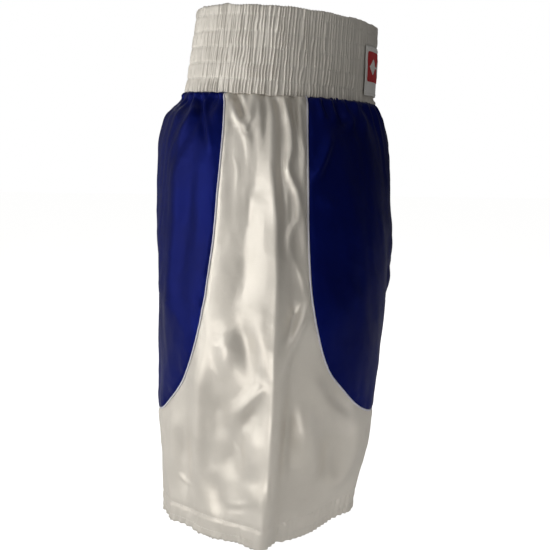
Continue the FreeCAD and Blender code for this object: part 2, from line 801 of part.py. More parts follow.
for file_name in os.listdir("parts"):
    if file_name.endswith(".step"):
        os.remove(os.path.join("parts", file_name))
for label, obj in sorted(pieces.items()):
    obj.Shape.exportStep(os.path.join("parts", label + ".step"))
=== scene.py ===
"""Boxing shorts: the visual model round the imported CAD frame.

Metres, +Z up, -Y front, +X the wearer's left. The waist seam lies near z = 0 and the hem at
z = -0.495. The shapes are worked out in millimetres and scaled by MM when a mesh is made.
Each leg is one grid of points, cut into blue front and back panels and a white side panel.
"""
import math
from types import SimpleNamespace

import bmesh
import bpy
import numpy as np
from mathutils import Matrix, Vector


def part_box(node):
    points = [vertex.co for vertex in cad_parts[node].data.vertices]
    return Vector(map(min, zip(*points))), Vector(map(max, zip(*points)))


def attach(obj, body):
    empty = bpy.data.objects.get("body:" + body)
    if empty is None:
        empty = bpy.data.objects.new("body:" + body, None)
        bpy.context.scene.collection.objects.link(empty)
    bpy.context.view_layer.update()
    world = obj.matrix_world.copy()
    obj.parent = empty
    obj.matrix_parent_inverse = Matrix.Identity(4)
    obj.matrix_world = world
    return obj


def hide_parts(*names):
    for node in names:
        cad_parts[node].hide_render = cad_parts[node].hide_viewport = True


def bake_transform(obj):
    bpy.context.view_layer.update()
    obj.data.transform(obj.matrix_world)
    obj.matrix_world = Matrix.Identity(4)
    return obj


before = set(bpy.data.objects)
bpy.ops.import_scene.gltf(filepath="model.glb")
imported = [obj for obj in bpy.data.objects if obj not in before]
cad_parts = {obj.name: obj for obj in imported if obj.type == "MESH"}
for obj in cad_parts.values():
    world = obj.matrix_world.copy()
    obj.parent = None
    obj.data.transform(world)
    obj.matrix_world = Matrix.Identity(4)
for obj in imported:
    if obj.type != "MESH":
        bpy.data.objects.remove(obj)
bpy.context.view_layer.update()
scene = bpy.context.scene
MM = 0.001

# ------------------------------------------------------------------ driving dimensions, mm
SIDES = (("right", -1), ("left", 1))    # name and sign of x
SEAM_SLOPE = math.tan(math.radians(3.9))  # the waist seam rises towards the back
SEAM_LIFT = 3.0                         # height of the waist seam at y = 0
HEM = -495.0
HEM_TURN = 22.0                         # depth of the cloth turned up inside
HEM_ROWS = (HEM + 23.0, HEM + 8.0)      # heights of the hem stitches
CLOTH_THICK = 0.6
PANEL_GAP = 0.3                         # from the seam line to the cut edge of a panel
EDGE_X = -0.03                          # centre edges of the right half

MID = 76                                # columns before and behind the side crease
ROWS = 112
FINE_ROWS = 2 * ROWS + 1                # rows after doubling, without the turned hem

BAND_HEIGHT = 93.0
FIRST_ROW, ROW_PITCH = 15.0, 17.0       # stitch rows on the waistband
STITCH_ROWS = [FIRST_ROW + ROW_PITCH * k for k in range(5)]
RIBS = 204                              # gathers round the waistband
BAND_UV_RADIUS = 0.128                  # metres of cloth per radian

# The camera looks at the wearer's right side. The seen folds are drawn on a plane standing
# square to the view, VIEW_PLANE in front of the camera. Its axes run across, towards the
# front of the shorts, and up, from the point where the view direction meets it.
CAMERA = np.array([-991.4, -130.5, -38.0])
VIEW_TURN, VIEW_PITCH = math.radians(-82.5), math.radians(10.61)
VIEW_PLANE = 774.0
TO_CLOTH = 1.07                         # the cloth lies this much further off than the plane
LENS_TURN = 0.006460038                 # tangent of the lens axis's turn to the back
TO_CAMERA = np.array([math.sin(VIEW_TURN) * math.cos(VIEW_PITCH),
                      -math.cos(VIEW_TURN) * math.cos(VIEW_PITCH),
                      math.sin(VIEW_PITCH)])
FORWARD = -TO_CAMERA

# ------------------------------------------------------------------ numeric helpers
FLAT = math.inf                         # noise length for no change in that direction


def unit(v):
    return v / (np.linalg.norm(v, axis=-1, keepdims=True) + 1e-12)


ACROSS = unit(np.cross(FORWARD, [0, 0, 1]))
UPWARD = np.cross(ACROSS, FORWARD)


def hash01(ix, iy, iz, seed):
    ix, iy, iz = (i.astype(np.int64) for i in (ix, iy, iz))
    h = (ix * 73856093) ^ (iy * 19349663) ^ (iz * 83492791) ^ (seed * 2654435761)
    h = (h ^ (h >> 13)) * 1274126177
    h = (h ^ (h >> 16)) & 0xFFFFFF
    return h / float(0xFFFFFF)


def noise3(x, y, z, seed):
    """Smooth value noise in -1..1."""
    x, y, z = np.broadcast_arrays(*(np.asarray(v, float) for v in (x, y, z)))
    ix, iy, iz = np.floor(x), np.floor(y), np.floor(z)
    fx, fy, fz = (f * f * f * (f * (f * 6 - 15) + 10) for f in (x - ix, y - iy, z - iz))
    out = 0
    for dx in (0, 1):
        for dy in (0, 1):
            for dz in (0, 1):
                w = (fx if dx else 1 - fx) * (fy if dy else 1 - fy) * (fz if dz else 1 - fz)
                out = out + w * hash01(ix + dx, iy + dy, iz + dz, seed)
    return out * 2 - 1


def noise(p, level_mm, upright_mm, seed):
    """Noise over points, with its length in x and y and its length in z."""
    return noise3(p[..., 0] / level_mm, p[..., 1] / level_mm, p[..., 2] / upright_mm, seed)


def smooth(a, b, x):
    """0 at a, 1 at b; a may be the larger."""
    t = np.clip((x - a) / (b - a), 0, 1)
    return t * t * (3 - 2 * t)


def bell(x, width):
    return np.exp(-(x / width) ** 2)


def wave(turns):
    return np.cos(2 * np.pi * turns)


def run_length(p, axis=0):
    """Length from the start along an axis of a point array."""
    steps = np.diff(p, axis=axis, prepend=np.take(p, [0], axis))
    return np.cumsum(np.linalg.norm(steps, axis=-1), axis=axis)


def sample(lengths, at, values):
    return np.stack([np.interp(at, lengths, values[:, k]) for k in range(values.shape[1])], 1)


def dense(points, steps):
    """Catmull-Rom through the points, with this many steps to a span."""
    p = np.array(points, float)
    a = np.concatenate([[2 * p[0] - p[1]], p, [2 * p[-1] - p[-2]]])
    out = []
    for i in range(len(p) - 1):
        p0, p1, p2, p3 = a[i:i + 4]
        for t in np.linspace(0, 1, steps, endpoint=False):
            out.append(0.5 * (2 * p1 + (p2 - p0) * t + (2 * p0 - 5 * p1 + 4 * p2 - p3) * t**2
                              + (-p0 + 3 * p1 - 3 * p2 + p3) * t**3))
    out.append(p[-1])
    return np.array(out)


def poly_dist(px, py, pts):
    """Signed distance to a polyline (positive on its left) and the parameter along it."""
    best = np.full(px.shape, 1e9)
    sign = np.ones(px.shape)
    par = np.zeros(px.shape)
    for k in range(len(pts) - 1):
        ax, ay = pts[k]
        dx, dy = pts[k + 1] - pts[k]
        t = np.clip(((px - ax) * dx + (py - ay) * dy) / (dx * dx + dy * dy + 1e-12), 0, 1)
        d = np.hypot(px - ax - t * dx, py - ay - t * dy)
        turn = dx * (py - ay) - dy * (px - ax)
        nearer = d < best
        best = np.where(nearer, d, best)
        sign = np.where(nearer, np.sign(turn), sign)
        par = np.where(nearer, (k + t) / (len(pts) - 1), par)
    return best * sign, par


# ------------------------------------------------------------------ the form of the right half
LEVELS = np.array([
    # z,    x_out,  x_in,  y_front, y_back,  x_mid,  y_mid
    (14.0, -137.0, 137.0, -117.0, 116.0, 0.0, -9.0),
    (0.0, -141.0, 141.0, -118.0, 117.5, 0.0, -9.5),
    (-25.0, -158.0, 150.0, -128.5, 142.5, -2.0, -11.0),
    (-60.0, -176.0, 146.0, -137.0, 149.5, -8.0, -14.0),
    (-110.0, -192.0, 118.0, -140.0, 147.5, -25.0, -20.0),
    (-170.0, -203.0, 62.0, -142.0, 142.5, -55.0, -22.0),
    (-237.0, -211.0, -1.2, -137.5, 137.5, -85.0, -21.0),
    (-290.0, -215.0, -6.0, -132.5, 135.7, -97.0, -19.0),
    (-310.0, -216.0, -6.5, -130.5, 135.0, -100.0, -18.0),
    (-380.0, -220.0, -7.0, -124.0, 131.0, -108.0, -16.0),
    (-440.0, -222.0, -7.0, -113.0, 127.0, -112.0, -13.0),
    (-500.0, -223.0, -7.0, -100.5, 122.5, -115.0, -11.0),
])


def level(z, col):
    """A column of LEVELS at heights z, by a cubic that never overshoots the stations."""
    xs, ys = -LEVELS[:, 0], LEVELS[:, col]
    d = np.diff(ys) / np.diff(xs)
    m = np.zeros(len(xs))
    m[0], m[-1] = d[0], d[-1]
    for i in range(1, len(d)):
        m[i] = 0 if d[i - 1] * d[i] <= 0 else 2 * d[i - 1] * d[i] / (d[i - 1] + d[i])
    t = np.clip(-z, xs[0], xs[-1])
    i = np.clip(np.searchsorted(xs, t) - 1, 0, len(d) - 1)
    w = xs[i + 1] - xs[i]
    u = (t - xs[i]) / w
    return ((2 * u**3 - 3 * u**2 + 1) * ys[i] + (u**3 - 2 * u**2 + u) * w * m[i]
            + (-2 * u**3 + 3 * u**2) * ys[i + 1] + (u**3 - u**2) * w * m[i + 1])


def base_grid():
    """Rows from waist seam to hem, columns from the front centre edge round to the back."""
    heights = np.arange(18.0, -503.0, -2.0)
    outline = np.zeros((len(heights), 2 * MID + 1, 2))
    stations = np.stack([level(heights, col) for col in range(1, 7)], 1)
    for k, (x_out, x_in, y_front, y_back, x_mid, y_mid) in enumerate(stations):
        edge = math.acos(max(-1.0, min(1.0, -x_mid / (x_in - x_mid))))
        spans = ((-edge, -math.pi, 0), (-math.pi, -2 * math.pi + edge, MID))
        for start, end, col in spans:
            angle = np.linspace(start, end, 400)
            c, s = np.cos(angle), np.sin(angle)
            curve = np.stack([np.where(c > 0, x_mid + (x_in - x_mid) * c,
                                       x_mid - (x_out - x_mid) * c),
                              np.where(s > 0, y_mid + (y_back - y_mid) * s,
                                       y_mid - (y_front - y_mid) * s)], 1)
            length = run_length(curve)
            even = np.linspace(0, length[-1], MID + 1)
            outline[k, col:col + MID + 1] = sample(length, even, curve)
    share = np.linspace(0, 1, ROWS + 1)
    share = 0.85 * share + 0.15 * share**1.8   # a little denser at the gathers
    grid = np.zeros((ROWS + 1, 2 * MID + 1, 3))
    for i in range(2 * MID + 1):
        top = 0.0
        for _ in range(4):
            top = SEAM_SLOPE * np.interp(-top, -heights, outline[:, i, 1]) + SEAM_LIFT
        z = top + (HEM - top) * share
        grid[:, i, :2] = sample(-heights, -z, outline[:, i])
        grid[:, i, 2] = z
    return grid


def pressed(p):
    """Press the outer side of the leg to a crease low down, with flatter faces beside it."""
    x, y, z = p[..., 0], p[..., 1], p[..., 2]
    from_crease = y - y[:, MID:MID + 1] + 7.0 - 8.0 * smooth(-385.0, -490.0, z)
    inward = x - x[:, MID:MID + 1]
    wanted = np.where(from_crease < 0, 0.92, 0.52) * np.abs(from_crease)
    push = wanted - inward
    push = 0.5 * (push + np.sqrt(push * push + 16.0)) - 2.0 * np.exp(-np.abs(push) / 8.0)
    push = np.clip(push, 0, None) * smooth(124.0, 70.0, inward) * 0.88
    out = p.copy()
    out[..., 0] = x + push * smooth(-215.0, -455.0, z)
    return out


def grid_normals(p):
    """Normals of a grid, turned so that the side crease faces -X."""
    n = unit(np.cross(np.gradient(p, axis=1), np.gradient(p, axis=0)))
    return -n if n[len(p) // 2, p.shape[1] // 2, 0] > 0 else n


def upsample(p):
    """Double the grid in both directions with a four-point cubic."""
    def rows(q):
        a = np.concatenate([2 * q[:1] - q[1:2], q, 2 * q[-1:] - q[-2:-1]])
        out = np.zeros((2 * len(q) - 1,) + q.shape[1:])
        out[0::2] = q
        out[1::2] = (-a[:-3] + 9 * a[1:-2] + 9 * a[2:-1] - a[3:]) / 16.0
        return out
    return np.swapaxes(rows(np.swapaxes(rows(p), 0, 1)), 0, 1)


def below_seam(p):
    return np.clip(SEAM_SLOPE * p[..., 1] + SEAM_LIFT - p[..., 2], 0, None)


# ------------------------------------------------------------------ seams between the panels
# (y, z) from the waist down
FRONT_SEAM = [
    (-46.0, 20.0), (-47.0, -2.0), (-51.0, -50.0), (-54.0, -100.0), (-56.5, -150.0),
    (-59.0, -190.0), (-63.0, -225.0), (-70.0, -262.0), (-80.0, -295.0), (-96.0, -323.0),
    (-108.5, -343.0), (-117.5, -353.5), (-125.0, -359.5)]
BACK_SEAM = [
    (41.0, 20.0), (41.5, 3.0), (42.0, -50.0), (45.0, -100.0), (49.5, -150.0),
    (54.5, -190.0), (59.5, -225.0), (67.0, -262.0), (79.0, -298.0), (96.0, -329.0),
    (111.0, -348.0), (120.0, -359.5), (129.3, -367.0)]


def seam_line(points, end_y):
    """The seam, carried on level to end_y."""
    return np.vstack([dense(points, 13), [[end_y, points[-1][1]]]])


FRONT_LINE, BACK_LINE = seam_line(FRONT_SEAM, -200.0), seam_line(BACK_SEAM, 200.0)


def seam_field(p):
    """Distance into the white side panel, negative on the blue, from the unfolded form."""
    x, y, z = p[..., 0], p[..., 1], p[..., 2]
    front, _ = poly_dist(y, z, FRONT_LINE)
    back = -poly_dist(y, z, BACK_LINE)[0]
    # towards the inner leg the seams run nearly level
    inner = smooth(-90.0, -10.0, x)
    front = np.where(x > -100.0, FRONT_SEAM[-1][1] - 4.0 * inner - z, front)
    back = np.where(x > -100.0, BACK_SEAM[-1][1] + 3.5 * inner - z, back)
    cols = np.arange(p.shape[1])
    return np.where((cols <= p.shape[1] // 2)[None, :], front, back)


# ------------------------------------------------------------------ folds seen on the side
# height in mm (negative sinks), half width, then (across, up) points on the view plane
STROKES = [
    # white panel, top: an open V pleat and its neighbours
    (2.6, 5.0, [(-51, 179), (-45, 165), (-34, 141), (-32, 117), (-35, 85), (-37, 59),
                (-40, 23)]),
    (2.4, 3.6, [(-28, 179), (-30, 160), (-34, 141)]),
    (-4.2, 3.4, [(-42, 177), (-38, 163), (-36, 151)]),
    (1.6, 3.4, [(-54, 179), (-53, 153), (-56, 129), (-59, 103), (-62, 79)]),
    (1.5, 4.2, [(-21, 179), (-19, 157), (-22, 135), (-24, 105)]),
    (-2.8, 3.2, [(-16, 178), (-15, 155), (-16, 125)]),
    (3.8, 3.9, [(4, 175), (10, 149), (11, 125), (8, 105), (18, 79), (18, 57), (10, 37),
                (12, 21), (24, -9), (28, -25)]),
    (-3.0, 4.4, [(-2, 175), (1, 145), (1, 105), (4, 55), (5, 15), (8, -25)]),
    (2.6, 3.2, [(19, 175), (20, 147), (24, 115), (23, 79)]),
    (-3.2, 3.2, [(12, 177), (15, 157), (17, 135)]),
    (2.4, 3.6, [(26, 75), (24, 49), (28, 13)]),
    (-1.5, 6.0, [(-46, 145), (-49, 110), (-51, 75), (-48, 30)]),
    (1.8, 11.0, [(-18, 90), (-22, 60), (-24, 25), (-22, -15)]),
    (-1.2, 9.0, [(-40, 13), (-48, -25), (-54, -55)]),
    # back blue panel
    (2.6, 3.8, [(-80, 180), (-86, 161), (-98, 141), (-104, 115)]),
    (-2.4, 3.4, [(-90, 179), (-93, 167), (-102, 153)]),
    (2.4, 3.6, [(-74, 179), (-74, 163), (-71, 139), (-61, 109)]),
    (-2.2, 3.2, [(-79, 171), (-77, 149), (-72, 125)]),
    (1.6, 2.8, [(-66, 181), (-67, 167), (-68, 151)]),
    (2.4, 7.5, [(-104, 133), (-104, 100), (-108, 43), (-112, -17), (-110, -75)]),
    (-1.6, 8.0, [(-90, 125), (-92, 75), (-96, 15)]),
    # front blue panel
    (-3.4, 4.0, [(57, 172), (62, 161), (66, 153), (69, 149)]),
    (3.0, 3.8, [(50, 172), (54, 157), (58, 147)]),
    (3.0, 4.2, [(72, 169), (72, 157), (69, 145), (62, 135)]),
    (4.4, 4.4, [(52, 149), (47, 129), (39, 105), (31, 89)]),
    (3.0, 3.0, [(38, 175), (41, 163), (45, 151)]),
    (-1.8, 2.8, [(44, 171), (49, 153)]),
    (1.6, 4.2, [(82, 167), (84, 151), (82, 125)]),
    (1.4, 5.0, [(34, 72), (46, 74), (60, 70)]),
    (1.4, 12.0, [(70, 115), (76, 55), (76, -15)]),
    # lower white: the soft corners of the pressed leg and the broad dimples
    (4.2, 9.0, [(-62, -43), (-74, -77), (-79, -117), (-80, -165), (-78, -205), (-77, -251)]),
    (4.6, 9.0, [(78, -129), (77, -157), (65, -191), (53, -217), (48, -239)]),
    (4.4, 6.0, [(36, -15), (22, -47), (10, -77), (-1, -117)]),
    (-3.2, 5.0, [(20, -25), (12, -47), (6, -69)]),
    (-3.6, 9.0, [(-40, -33), (-37, -59), (-33, -83), (-28, -109)]),
    (2.0, 9.0, [(-18, -25), (-18, -55), (-14, -85), (-16, -109)]),
    (2.4, 9.0, [(-52, -55), (-54, -77), (-56, -109)]),
    (-2.8, 11.0, [(-42, -135), (-44, -161), (-47, -187), (-48, -209)]),
    (3.2, 7.0, [(-14, -101), (-22, -117), (-36, -133), (-54, -149)]),
    (-1.8, 7.0, [(-18, -125), (-30, -145), (-40, -159)]),
    (2.4, 10.0, [(-22, -149), (-24, -177), (-26, -211)]),
    (-1.8, 8.0, [(-62, -117), (-60, -145), (-60, -181)]),
    (-3.0, 9.0, [(48, -109), (62, -127), (78, -139)]),
    (2.8, 9.0, [(32, -101), (44, -125), (56, -149)]),
    (4.8, 12.0, [(24, -121), (26, -157), (32, -195), (34, -225)]),
    (-4.2, 8.0, [(12, -117), (10, -165), (4, -225)]),
    (-3.8, 9.0, [(56, -155), (50, -187), (42, -217)]),
    (1.2, 8.0, [(-30, -203), (-24, -223), (-22, -241)]),
    (-2.2, 8.0, [(-66, -195), (-62, -225), (-54, -249)]),
    (-2.4, 8.0, [(-98, -145), (-96, -187), (-90, -227)]),
    (1.8, 7.0, [(-104, -125), (-106, -165), (-102, -215)]),
]

# small sharp ones, drawn on the fine grid
FINE_STROKES = [
    (1.0, 1.5, [(-58, -228), (-38, -231), (-20, -229)]),
    (-1.0, 1.5, [(-60, -234), (-40, -237), (-22, -236)]),
    (1.0, 1.6, [(8, -235), (20, -232), (36, -226)]),
    (-0.9, 1.6, [(10, -241), (26, -237), (40, -232)]),
    (0.9, 1.5, [(-16, -93), (-21, -104), (-17, -117)]),
    (0.8, 1.6, [(-32, -109), (-24, -105), (-17, -97)]),
    (0.8, 1.4, [(12, -199), (22, -191), (30, -180)]),
    (0.6, 1.2, [(19, -187), (23, -194), (24, -203)]),
    (-0.8, 1.8, [(-48, -165), (-40, -177), (-37, -195)]),
    (0.8, 1.8, [(-68, -85), (-62, -103), (-60, -127)]),
    (-0.8, 1.8, [(42, -125), (48, -145), (46, -169)]),
    (0.9, 1.6, [(6, -25), (12, -41), (22, -47)]),
    (0.9, 1.6, [(16, 13), (23, -5), (26, -29)]),
    (-0.9, 1.6, [(-40, 155), (-34, 141), (-26, 157)]),
    (0.8, 1.5, [(-49, 125), (-44, 105), (-47, 79)]),
    (0.8, 1.6, [(-104, -195), (-96, -207), (-84, -211)]),
]

# the pressed crease, (across, up) on the view plane
CREASE = np.array([(-8.0, 181.0), (-9.5, 111.0), (-2.5, 55.0), (-2.0, -5.0),
                   (-4.0, -95.0), (-6.0, -155.0), (-11.0, -225.0), (-18.0, -273.0)])
UNDER_BAND = 165.0          # strokes that start above this run up to the band at full height


def on_view_plane(p):
    ray = p - CAMERA
    scale = VIEW_PLANE / (ray @ FORWARD)
    return ray @ ACROSS * scale, ray @ UPWARD * scale


def behind_crease(across, up):
    """Distance behind the pressed crease, negative before it."""
    return (np.interp(-up, -CREASE[:, 1], CREASE[:, 0]) - across) * TO_CLOTH


def stroke_field(across, up, strokes, shift=0.0):
    """Summed stroke heights; shift moves each stroke its own way."""
    out = np.zeros(across.shape)
    for k, (height, width, points) in enumerate(strokes):
        d, par = poly_dist(across - shift * math.sin(k * 1.7), up + shift * math.cos(k * 2.3),
                           dense(points, 10))
        if points[0][1] < UNDER_BAND:
            ends = smooth(0.0, 0.4, par) * (1 - smooth(0.55, 1.0, par))
        else:
            ends = 1 - smooth(0.45, 1.0, par)
        out += height * bell(d, width) * ends
    return out


def gathers(p, depth):
    """Gathers under the waist: fine ones that die away at once, and fewer, longer ones."""
    around = np.arctan2(p[..., 1] + 9, np.abs(p[..., 0])) * 129.0
    fine = wave(around / 11.5 + 0.9 * noise(p, 22, 60, 5))
    medium = wave(around / 24.0 + 1.1 * noise(p, 46, 120, 3))
    broad = wave(around / 47.0 + 0.9 * noise(p, 70, 260, 9))
    uneven = 0.65 + 0.55 * noise(p, 30, 200, 12)
    return (1.9 * fine * smooth(0, 5, depth) * np.exp(-depth / 13)
            + 3.6 * medium * uneven * smooth(0, 12, depth) * np.exp(-depth / 42)
            + 3.6 * broad * uneven * smooth(4, 36, depth) * np.exp(-depth / 130))


def drape(p, depth, seen):
    """Irregular waves of the hanging cloth, faded in below the gathers."""
    x, y, z = p[..., 0], p[..., 1], p[..., 2]
    low = smooth(30, 160, depth)
    h = 2.1 * noise(p, 42, 190, 21) * low * (1 - 0.45 * seen)
    h += 2.0 * noise(p, 75, 90, 23) * low
    h += 1.0 * noise(p, 26, 46, 27) * low
    h += 0.5 * noise(p, 13, 30, 29) * (0.4 + 0.6 * low)
    # slanting ridges with sharper tops
    ridge = noise3(x / 48 + z / 130, y / 48, z / 62 - y / 140, 61)
    h += 1.5 * (0.35 - np.abs(ridge)) * low
    # folds down the front and back of the leg, where the cloth hangs from the hip
    hang = wave(np.abs(x) / 62.0 + 0.55 * noise(p, 90, 300, 31))
    h += 3.6 * hang * smooth(60, 220, depth) * (1 - seen)
    # slanting pulls from the crotch across the front and the back of the thigh
    slant = (np.abs(x) * 0.62 + (z + 235.0) * 0.78) / 30.0 + 0.7 * noise(p, 60, 60, 33)
    near_crotch = bell(np.abs(x) - 34.0, 42.0) * bell(z + 205.0, 62.0)
    return h + 1.9 * wave(slant / 1.5) * near_crotch * (1 - seen)


def fold_height(form, normals, side):
    """Fold heights over the right half's form; the left leg gets its own noise."""
    p = form * (-side, 1, 1)
    y, z = p[..., 1], p[..., 2]
    depth = below_seam(p)
    facing = normals @ TO_CAMERA
    seen = smooth(0.02, 0.3, facing)
    across, up = on_view_plane(form)
    h = gathers(p, depth) * (1 - 0.5 * seen * smooth(6.0, 45.0, depth))
    strokes = stroke_field(across, up, STROKES, shift=0.0 if side < 0 else 5.0)
    h += (1.3 + 0.6 * smooth(-25.0, -105.0, up)) * strokes * seen
    # pressed crease: steep before it, a long slope behind it
    q = behind_crease(across, up)
    crease = ((2.5 + 7.0 * smooth(40, 170, depth) - 0.7 * smooth(-340, -480, z))
              * smooth(0.0, 14.0, depth) * smooth(0.1, 0.5, facing))
    before = np.where(-q < 17.0, 1.0 + 1.25 * q / 17.0, -0.25 * (1 - smooth(17.0, 46.0, -q)))
    h += crease * (np.where(q < 0, before, np.exp(-np.abs(q) / 32.0)) - 0.12)
    # a broad hollow between the crease and the back seam
    c = across + 35.75 - 0.05 * up
    hollow = np.where(c < 0, smooth(-36.0, 3.0, c), smooth(29.0, -6.0, c))
    h -= 10.0 * hollow * smooth(171.0, 110.0, up) * smooth(-75.0, 20.0, up) * seen
    # the gathers stand out at once under the band, most at the back
    h += (1.5 + 4.0 * smooth(-20, 70, y)) * smooth(0, 7, depth) * np.exp(-depth / 26)
    h += drape(p, depth, seen)
    # kept calm next to the inner thigh
    return h * (0.25 + 0.75 * smooth(4.0, 40.0, np.abs(p[..., 0])))


def seam_detail(form, seam, side):
    """Seam valleys with small puckers, sharp wrinkles and the hem, on the fine grid."""
    p = form * (-side, 1, 1)
    x, y, z = p[..., 0], p[..., 1], p[..., 2]
    depth = below_seam(p)
    pucker = noise(p, 9, 9, 41)
    h = -1.35 * bell(seam, 2.6)
    h += 0.6 * pucker * bell(np.abs(seam) - 5, 4.5) * (0.7 + 0.5 * noise(p, 5, 7, 43))
    # centre and inseam edges
    edge = np.minimum(np.linalg.norm(form - form[:, :1], axis=2),
                      np.linalg.norm(form - form[:, -1:], axis=2))
    h += -1.3 * bell(edge, 2.6) + 0.7 * pucker * bell(edge - 6, 6)
    # waist seam: the cloth is caught under the band
    h += -2.4 * bell(depth, 3.4)
    # on the right leg's outer side, the pressed line and small crisp wrinkles
    across, up = on_view_plane(form)
    q = behind_crease(across, up)
    outer = smooth(-95.0, -125.0, x)
    line = np.exp(-np.abs(q) / np.where(q < 0, 1.8, 4.0))
    h += 1.0 * line * outer * smooth(20.0, 70.0, depth)
    h += stroke_field(across, up, FINE_STROKES) * outer
    ridge = noise3(x / 21 + z / 60, y / 21, z / 30 - y / 70, 63)
    h += 0.55 * (0.3 - np.abs(ridge)) * smooth(20.0, 80.0, depth)
    # hem: stitched line, puckers on both sides of it, uneven edge
    above = z - HEM_ROWS[0]
    h += -0.9 * bell(above, 1.8) + 0.55 * smooth(2, -2, above)
    around = np.arctan2(y + 10, np.abs(x) - 115) * 112
    ripple = wave(around / 7.5 + 1.6 * noise(p, 24, 90, 45))
    h += 1.15 * ripple * bell(above + 5, 10.0) * (0.6 + 0.7 * noise(p, 34, FLAT, 47))
    return h + (1.5 * noise(p, 15, 60, 49) + 1.2 * ripple) * smooth(11, 0, z - HEM)


def shape_hem(cloth, form, side):
    """Uneven lower edge, rising away from the crease, most towards the front."""
    z = form[..., 2]
    uneven = 2.0 * noise(form, 17, FLAT, 51 if side < 0 else 53) - 0.2
    cloth[..., 2] += uneven * smooth(30, 0, z - HEM)
    v = (form[..., 1] - form[-1, form.shape[1] // 2, 1]) / 100.0
    outer = smooth(60.0, 130.0, np.abs(form[..., 0]))
    lift = 4.5 + np.where(v < 0, 8.0, -5.0) * smooth(0.1, 0.9, np.abs(v)) * outer
    lift = lift + 3.6 * bell(v + 0.02, 0.22) * outer
    cloth[..., 2] += lift * smooth(-380.0, HEM, z)


def keep_on_side(cloth, form):
    """The right half stays on its own side, its centre edges in line above the crotch."""
    z = form[..., 2]
    cloth[..., 0] = np.minimum(cloth[..., 0], EDGE_X - 1.2 * smooth(-225.0, -245.0, z))
    ends = [0, -1]
    cloth[:, ends, 0] = np.where(z[:, ends] > -236.0, EDGE_X, cloth[:, ends, 0])


def turn_up_hem(cloth, form):
    """Rows of the hem turned up on the inside."""
    n = grid_normals(cloth)
    back = np.where(form[:, 0, 2] < HEM + HEM_TURN)[0][::-1]
    turned = [cloth[-1] - 0.7 * n[-1] + [0, 0, -0.8], cloth[-1] - 1.5 * n[-1] + [0, 0, -0.5]]
    return np.array(turned + [cloth[r] - 1.9 * n[r] for r in back[1:]])


def leg_cloth(name, side, form):
    """The fine grid of one half: unfolded form, cloth, normals, seam distance and UV."""
    folded = form + grid_normals(form) * fold_height(form, grid_normals(form), side)[..., None]
    form, cloth = upsample(form), upsample(folded)
    seam = seam_field(form)
    cloth = cloth + grid_normals(cloth) * seam_detail(form, seam, side)[..., None]
    shape_hem(cloth, form, side)
    keep_on_side(cloth, form)
    turned = turn_up_hem(cloth, form)
    cloth = np.concatenate([cloth, turned])
    form = np.concatenate([form, np.repeat(form[-1:], len(turned), 0)])
    # the turned rows count as well inside the white panel
    seam = np.concatenate([seam, np.full((len(turned), seam.shape[1]), 60.0)])
    if side > 0:
        cloth = cloth * [-1, 1, 1]
    mid = 2 * MID
    normals = grid_normals(cloth)
    if (normals[100, mid, 0] > 0) == (side < 0):
        normals = -normals
    u = run_length(form, axis=1)
    uv = np.stack([u - u[:, mid:mid + 1], run_length(cloth)], -1) * MM
    return SimpleNamespace(name=name, side=side, form=form, cloth=cloth, normals=normals,
                           seam=seam, uv=uv, mid=mid, columns=cloth.shape[1])


# ------------------------------------------------------------------ mesh building


def grid_faces(rows, cols, ring=False, closed=False):
    """Quads of a point grid; ring joins the last column to the first, closed the rows."""
    return [(r * cols + c, r * cols + (c + 1) % cols,
             (r + 1) % rows * cols + (c + 1) % cols, (r + 1) % rows * cols + c)
            for r in range(rows if closed else rows - 1)
            for c in range(cols if ring else cols - 1)]


def flipped(quads):
    return [(a, d, c, b) for a, b, c, d in quads]


def mesh_object(name, verts, faces, material, uv=None):
    mesh = bpy.data.meshes.new(name)
    mesh.from_pydata([tuple(v) for v in np.asarray(verts) * MM], [], faces)
    mesh.materials.append(material)
    if uv is not None:
        layer = mesh.uv_layers.new(name="cloth")
        corners = np.zeros(len(mesh.loops), np.int32)
        mesh.loops.foreach_get("vertex_index", corners)
        layer.data.foreach_set("uv", np.asarray(uv, np.float32)[corners].ravel())
    mesh.polygons.foreach_set("use_smooth", [True] * len(mesh.polygons))
    mesh.validate()
    mesh.update()
    obj = bpy.data.objects.new(name, mesh)
    scene.collection.objects.link(obj)
    return obj


def orient(obj):
    """Faces outwards on closed meshes."""
    bm = bmesh.new()
    bm.from_mesh(obj.data)
    bmesh.ops.recalc_face_normals(bm, faces=bm.faces)
    bm.to_mesh(obj.data)
    bm.free()


def closed_piece(name, verts, faces, material, node, slot, uv=None, carrier="seat"):
    """A closed mesh that rides on one part of the frame."""
    obj = mesh_object(name, verts, faces, material, uv)
    orient(obj)
    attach(obj, carrier)
    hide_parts(node)


def leg_piece(obj, nodes):
    """A piece of a leg: its transform is baked into the mesh and its frame parts are hidden.
    """
    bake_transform(obj)
    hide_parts(*nodes)


def thicken(verts, faces, thick, uv=None):
    """Closed sheet: the given faces outside, a copy inside, a rim along the open edges."""
    verts = np.asarray(verts, float)
    n = np.zeros_like(verts)
    by_size = {}
    for f in faces:
        by_size.setdefault(len(f), []).append(f)
    for size, group in by_size.items():
        group = np.array(group)
        a = verts[group[:, 0]]
        total = np.zeros((len(group), 3))
        for i in range(1, size - 1):
            total += np.cross(verts[group[:, i]] - a, verts[group[:, i + 1]] - a)
        for i in range(size):
            np.add.at(n, group[:, i], total)
    m = len(verts)
    outside = [tuple(int(i) for i in f) for f in faces]
    inside = [tuple(i + m for i in reversed(f)) for f in outside]
    edges = dict.fromkeys((a, b) for f in outside for a, b in zip(f, f[1:] + f[:1]))
    rim = [(b, a, a + m, b + m) for (a, b) in edges if (b, a) not in edges]
    if uv is not None:
        uv = np.concatenate([uv, uv])
    return np.concatenate([verts, verts - unit(n) * thick]), outside + inside + rim, uv


